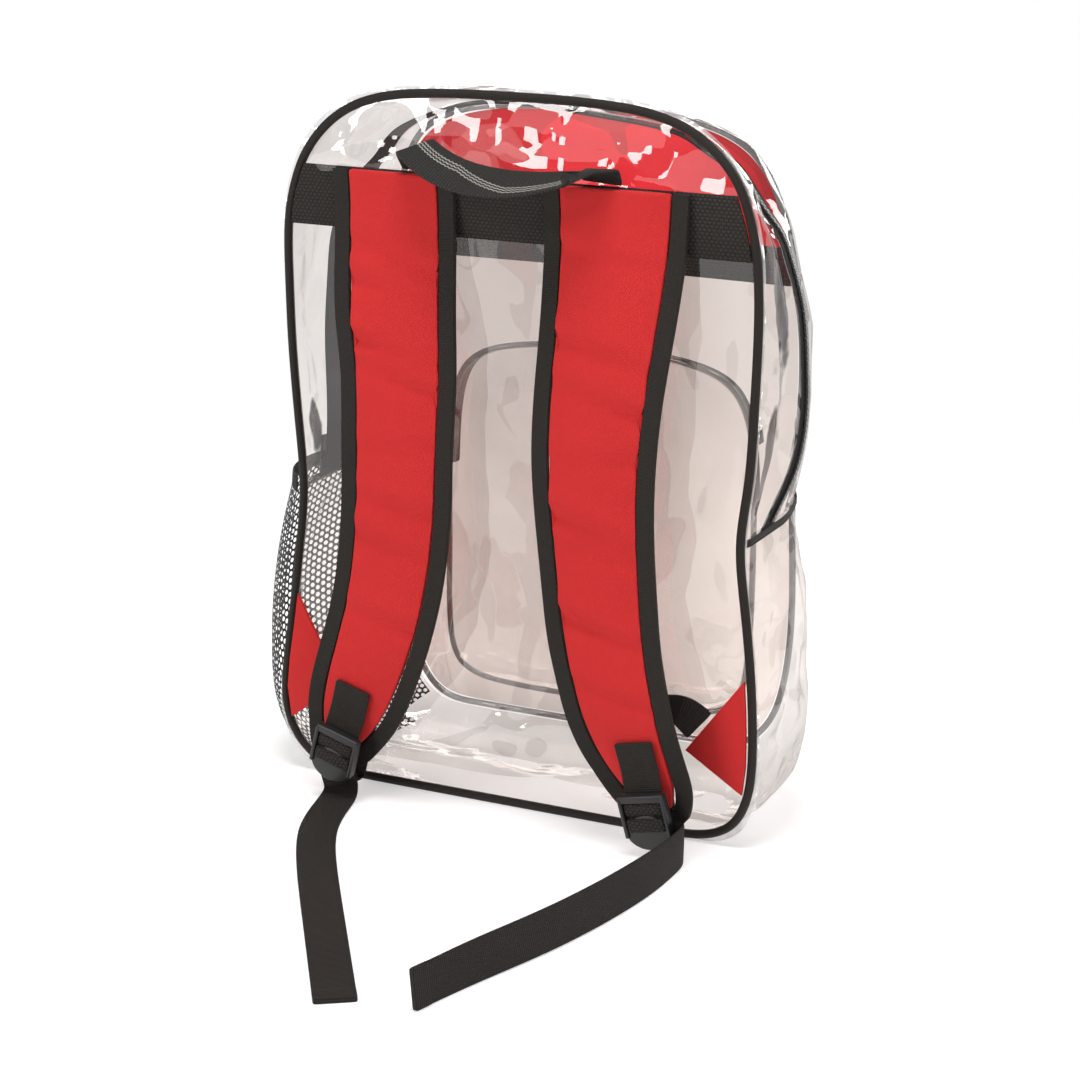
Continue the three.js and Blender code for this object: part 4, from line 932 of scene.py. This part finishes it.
def makeMeshPocket():
    pocket = copyNode("side_mesh", "sideMeshNet")
    innerEdge, outward = meshPocket["innerEdge"], meshPocket["outward"]
    selectFaces(pocket, lambda place, normal: place.x > innerEdge or not outward(place, normal))
    bpy.ops.mesh.delete(type="FACE")
    toObjectMode()
    mesh = pocket.data
    longest = max(mesh.polygons, key=lambda face: face.area)
    corners = [mesh.vertices[i].co for i in longest.vertices]
    unrollQuads(pocket, min((corners[0] - corners[1]).length, (corners[1] - corners[2]).length))
    subdivide(pocket, 3, boundary_smooth="PRESERVE_CORNERS")
    finishPiece(pocket, ["side_mesh"], net, angle=70)
    roundStrip(copyNode("mesh_elastic", "meshElasticTape"), "mesh_elastic", bandWebbing)


makeMeshPocket()
print("Mesh pocket made")


# Buckles and zip hardware

moulding = {"segments": 3, "sharp": 35, "roundVertices": 48}
buckles = {  # lengths in mm in the buckle's own frame, with its top edge at z 0 and its front at -y
    "left": {"node": "buckle_left", "across": -0.1043, "up": 0.0481, "tilt": -17},
    "right": {"node": "buckle_right", "across": 0.1062, "up": 0.0418, "tilt": 12},
    "pitch": 6, "halfHeight": 18.25,
    "bars": {
        "topBar": {"middle": (0, -1.6, -2.4), "size": (30.6, 5.8, 5.0), "edge": 0.9},
        "leftRail": {"middle": (-14.3, -1.4, -14.5), "size": (2.6, 7.0, 27.0), "edge": 0.9},
        "rightRail": {"middle": (14.3, -1.4, -14.5), "size": (2.6, 7.0, 27.0), "edge": 0.9},
        "middleBar": {"middle": (0, 0, -13), "size": (27, 2.6, 5.0), "edge": 0.8},
    },
    "webbing": {  # the webbing that comes up over the bars
        "upperTurn": {"middle": (0, -1.5, -9.3), "size": (26.4, 4.8, 8.8), "edge": 2.2},
        "lowerTurn": {"middle": (0, -2.2, -19.9), "size": (26.4, 5.2, 9.6), "edge": 2.3},
    },
    "tab": {"middle": (0, -1.7, -25.2), "radius": 15.2, "thickness": 3.4, "height": 0.78, "edge": 1.2},
}


def makeMoulded(nodeName, name, edge):
    piece = copyNode(nodeName, name)
    bevelEdges(piece, edge, moulding["segments"], moulding["sharp"])
    finishPiece(piece, [nodeName], blackPlastic, moulding["sharp"])


def roundBlock(name, edge):  # names the block just added, applies its size and rounds its edges
    block = bpy.context.active_object
    block.name = name
    bpy.ops.object.transform_apply(location=True, rotation=True, scale=True)
    bevelEdges(block, edge * mm, moulding["segments"], moulding["sharp"])
    return block


def makeBar(name, bar):
    deselectAll()
    bpy.ops.mesh.primitive_cube_add(
        size=1, location=[v * mm for v in bar["middle"]], scale=[v * mm for v in bar["size"]],
    )
    return roundBlock(name, bar["edge"])


def makeTab(name):
    tab = buckles["tab"]
    deselectAll()
    bpy.ops.mesh.primitive_cylinder_add(
        vertices=moulding["roundVertices"], radius=tab["radius"] * mm, depth=tab["thickness"] * mm,
        location=[v * mm for v in tab["middle"]], rotation=(math.radians(90), 0, 0),
        scale=(1, tab["height"], 1),
    )
    return roundBlock(name, tab["edge"])


def placeOnStrap(parts, name, side):  # joins the parts and moves them to the buckle's place
    selectOnly(parts[0])
    for part in parts[1:]:
        part.select_set(True)
    bpy.ops.object.join()
    joined = bpy.context.active_object
    joined.name = name
    place = buckles[side]
    tilt = Matrix.Rotation(-math.radians(place["tilt"]), 4, "Y")
    turn = tilt @ Matrix.Rotation(math.radians(buckles["pitch"]), 4, "X")
    low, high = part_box(place["node"])
    middle = turn @ Vector((0, 0, -buckles["halfHeight"] * mm))
    shift = Vector((place["across"], (low[1] + high[1]) / 2 - middle.y, place["up"]))
    joined.data.transform(Matrix.Translation(shift) @ turn)
    return joined


def makeBuckle(side):
    turns = [makeBar(f"{side}{name}", bar) for name, bar in buckles["webbing"].items()]
    turned = placeOnStrap(turns, f"{side}BuckleWebbing", side)
    finishPiece(turned, [], bandWebbing, angle=60)
    bars = [makeBar(f"{side}{name}", bar) for name, bar in buckles["bars"].items()]
    buckle = placeOnStrap(bars + [makeTab(f"{side}Tab")], f"{side}LadderBuckle", side)
    finishPiece(buckle, [buckles[side]["node"]], blackPlastic, moulding["sharp"])


makeBuckle("left")
makeBuckle("right")
makeMoulded("zip_slider", "zipSliderBody", 0.9 * mm)
makeMoulded("zip_pull", "zipPullTab", 0.5 * mm)
makeMoulded("pocket_zip_slider", "pocketSliderBody", 0.9 * mm)
print("Buckles and sliders made")


# Floor, light and camera

studio = {
    "floorSize": 60.0, "floorColour": (0.7, 0.69, 0.68), "floorGlow": 0.45, "whiteFrom": 0.5,
    "whiteOver": 0.625, "dimWorld": (0.13, 0.13, 0.135), "lens": 90.0, "sensor": 36.0,
    "cameraPlace": (0.722, -1.4895, 0.660), "azimuth": 25.978, "elevation": 16.599,
}


def makeFloor():
    deselectAll()
    bpy.ops.mesh.primitive_plane_add(size=studio["floorSize"], location=(0, 0, 0))
    floor = bpy.context.active_object
    floor.name = "studioFloor"
    material, tree, output = newMaterial("paleFloor")
    paint = addNode(tree, "ShaderNodeBsdfPrincipled", {
        "Base Color": (*studio["floorColour"], 1), "Roughness": 0.8,
    })
    paint.inputs["Specular IOR Level"].default_value = 0.0
    paint.inputs["Emission Color"].default_value = (1, 1, 1, 1)
    paint.inputs["Emission Strength"].default_value = studio["floorGlow"]
    glow = addNode(tree, "ShaderNodeEmission", {"Color": (1, 1, 1, 1), "Strength": 1.0})
    place = addNode(tree, "ShaderNodeTexCoord").outputs["Object"]
    past = mathNode(tree, "SUBTRACT", vectorNode(tree, "LENGTH", place), studio["whiteFrom"])
    far = mathNode(tree, "DIVIDE", past, studio["whiteOver"], clamp=True)
    both = addNode(tree, "ShaderNodeMixShader", {0: far, 1: paint.outputs[0], 2: glow.outputs[0]})
    tree.links.new(both.outputs[0], output.inputs["Surface"])
    floor.data.materials.append(material)


lights = {
    "keyBox": {"place": (-1.1, -1.7, 1.6), "size": (0.75, 0.55), "power": 14, "towards": (0, 0, 0.2)},
    "lowBox": {"place": (-0.95, -2.05, 0.55), "size": (0.9, 0.5), "power": 12, "towards": (0, 0, 0.3)},
    "topBox": {"place": (0.1, -0.3, 2.3), "size": (1.0, 0.6), "power": 33, "towards": (0, 0, 0)},
    "rightBox": {"place": (1.9, -0.5, 1.0), "size": (0.35, 1.1), "power": 10, "towards": (0, 0, 0.25)},
    "backBox": {"place": (0.7, 1.9, 0.9), "size": (1.1, 0.7), "power": 18, "towards": (0, 0, 0.25)},
    "backdropBox": {"place": (-1.0, 2.2, 0.7), "size": (2.0, 0.9), "power": 24, "towards": (0, 0, 0.2)},
    "yokeFill": {
        "place": (0.0, -0.02, 0.385), "size": (0.2, 0.03), "power": 0.07, "towards": (0, 0.05, 0.4),
        "mirrored": False,
    },
}


def makeLights():
    for name, light in lights.items():
        toObjectMode()
        bpy.ops.object.light_add(type="AREA", location=light["place"])
        lamp = bpy.context.active_object
        lamp.name = name
        lamp.data.shape = "RECTANGLE"
        lamp.data.size, lamp.data.size_y = light["size"]
        lamp.data.energy = light["power"]
        aim = Vector(light["towards"]) - Vector(light["place"])
        lamp.rotation_euler = aim.to_track_quat("-Z", "Y").to_euler()
        lamp.visible_camera = False
        lamp.visible_glossy = light.get("mirrored", True)
    world = bpy.data.worlds.new("paleStudio")
    world.use_nodes = True
    tree = world.node_tree
    tree.nodes.clear()
    seen = addNode(tree, "ShaderNodeLightPath").outputs["Is Camera Ray"]
    colour = mixColours(tree, seen, studio["dimWorld"], (1.0, 1.0, 1.0))
    backdrop = addNode(tree, "ShaderNodeBackground", {"Color": colour})
    output = tree.nodes.new("ShaderNodeOutputWorld")
    tree.links.new(backdrop.outputs[0], output.inputs["Surface"])
    bpy.context.scene.world = world


def makeCamera():
    toObjectMode()
    turn = (math.radians(90 - studio["elevation"]), 0, math.radians(studio["azimuth"]))
    bpy.ops.object.camera_add(location=studio["cameraPlace"], rotation=turn)
    camera = bpy.context.active_object
    camera.data.lens = studio["lens"]
    camera.data.sensor_width = studio["sensor"]
    camera.data.clip_end = 200.0
    bpy.context.scene.camera = camera
    bpy.context.scene.view_settings.view_transform = "Standard"


makeFloor()
makeLights()
makeCamera()
print("Studio made")
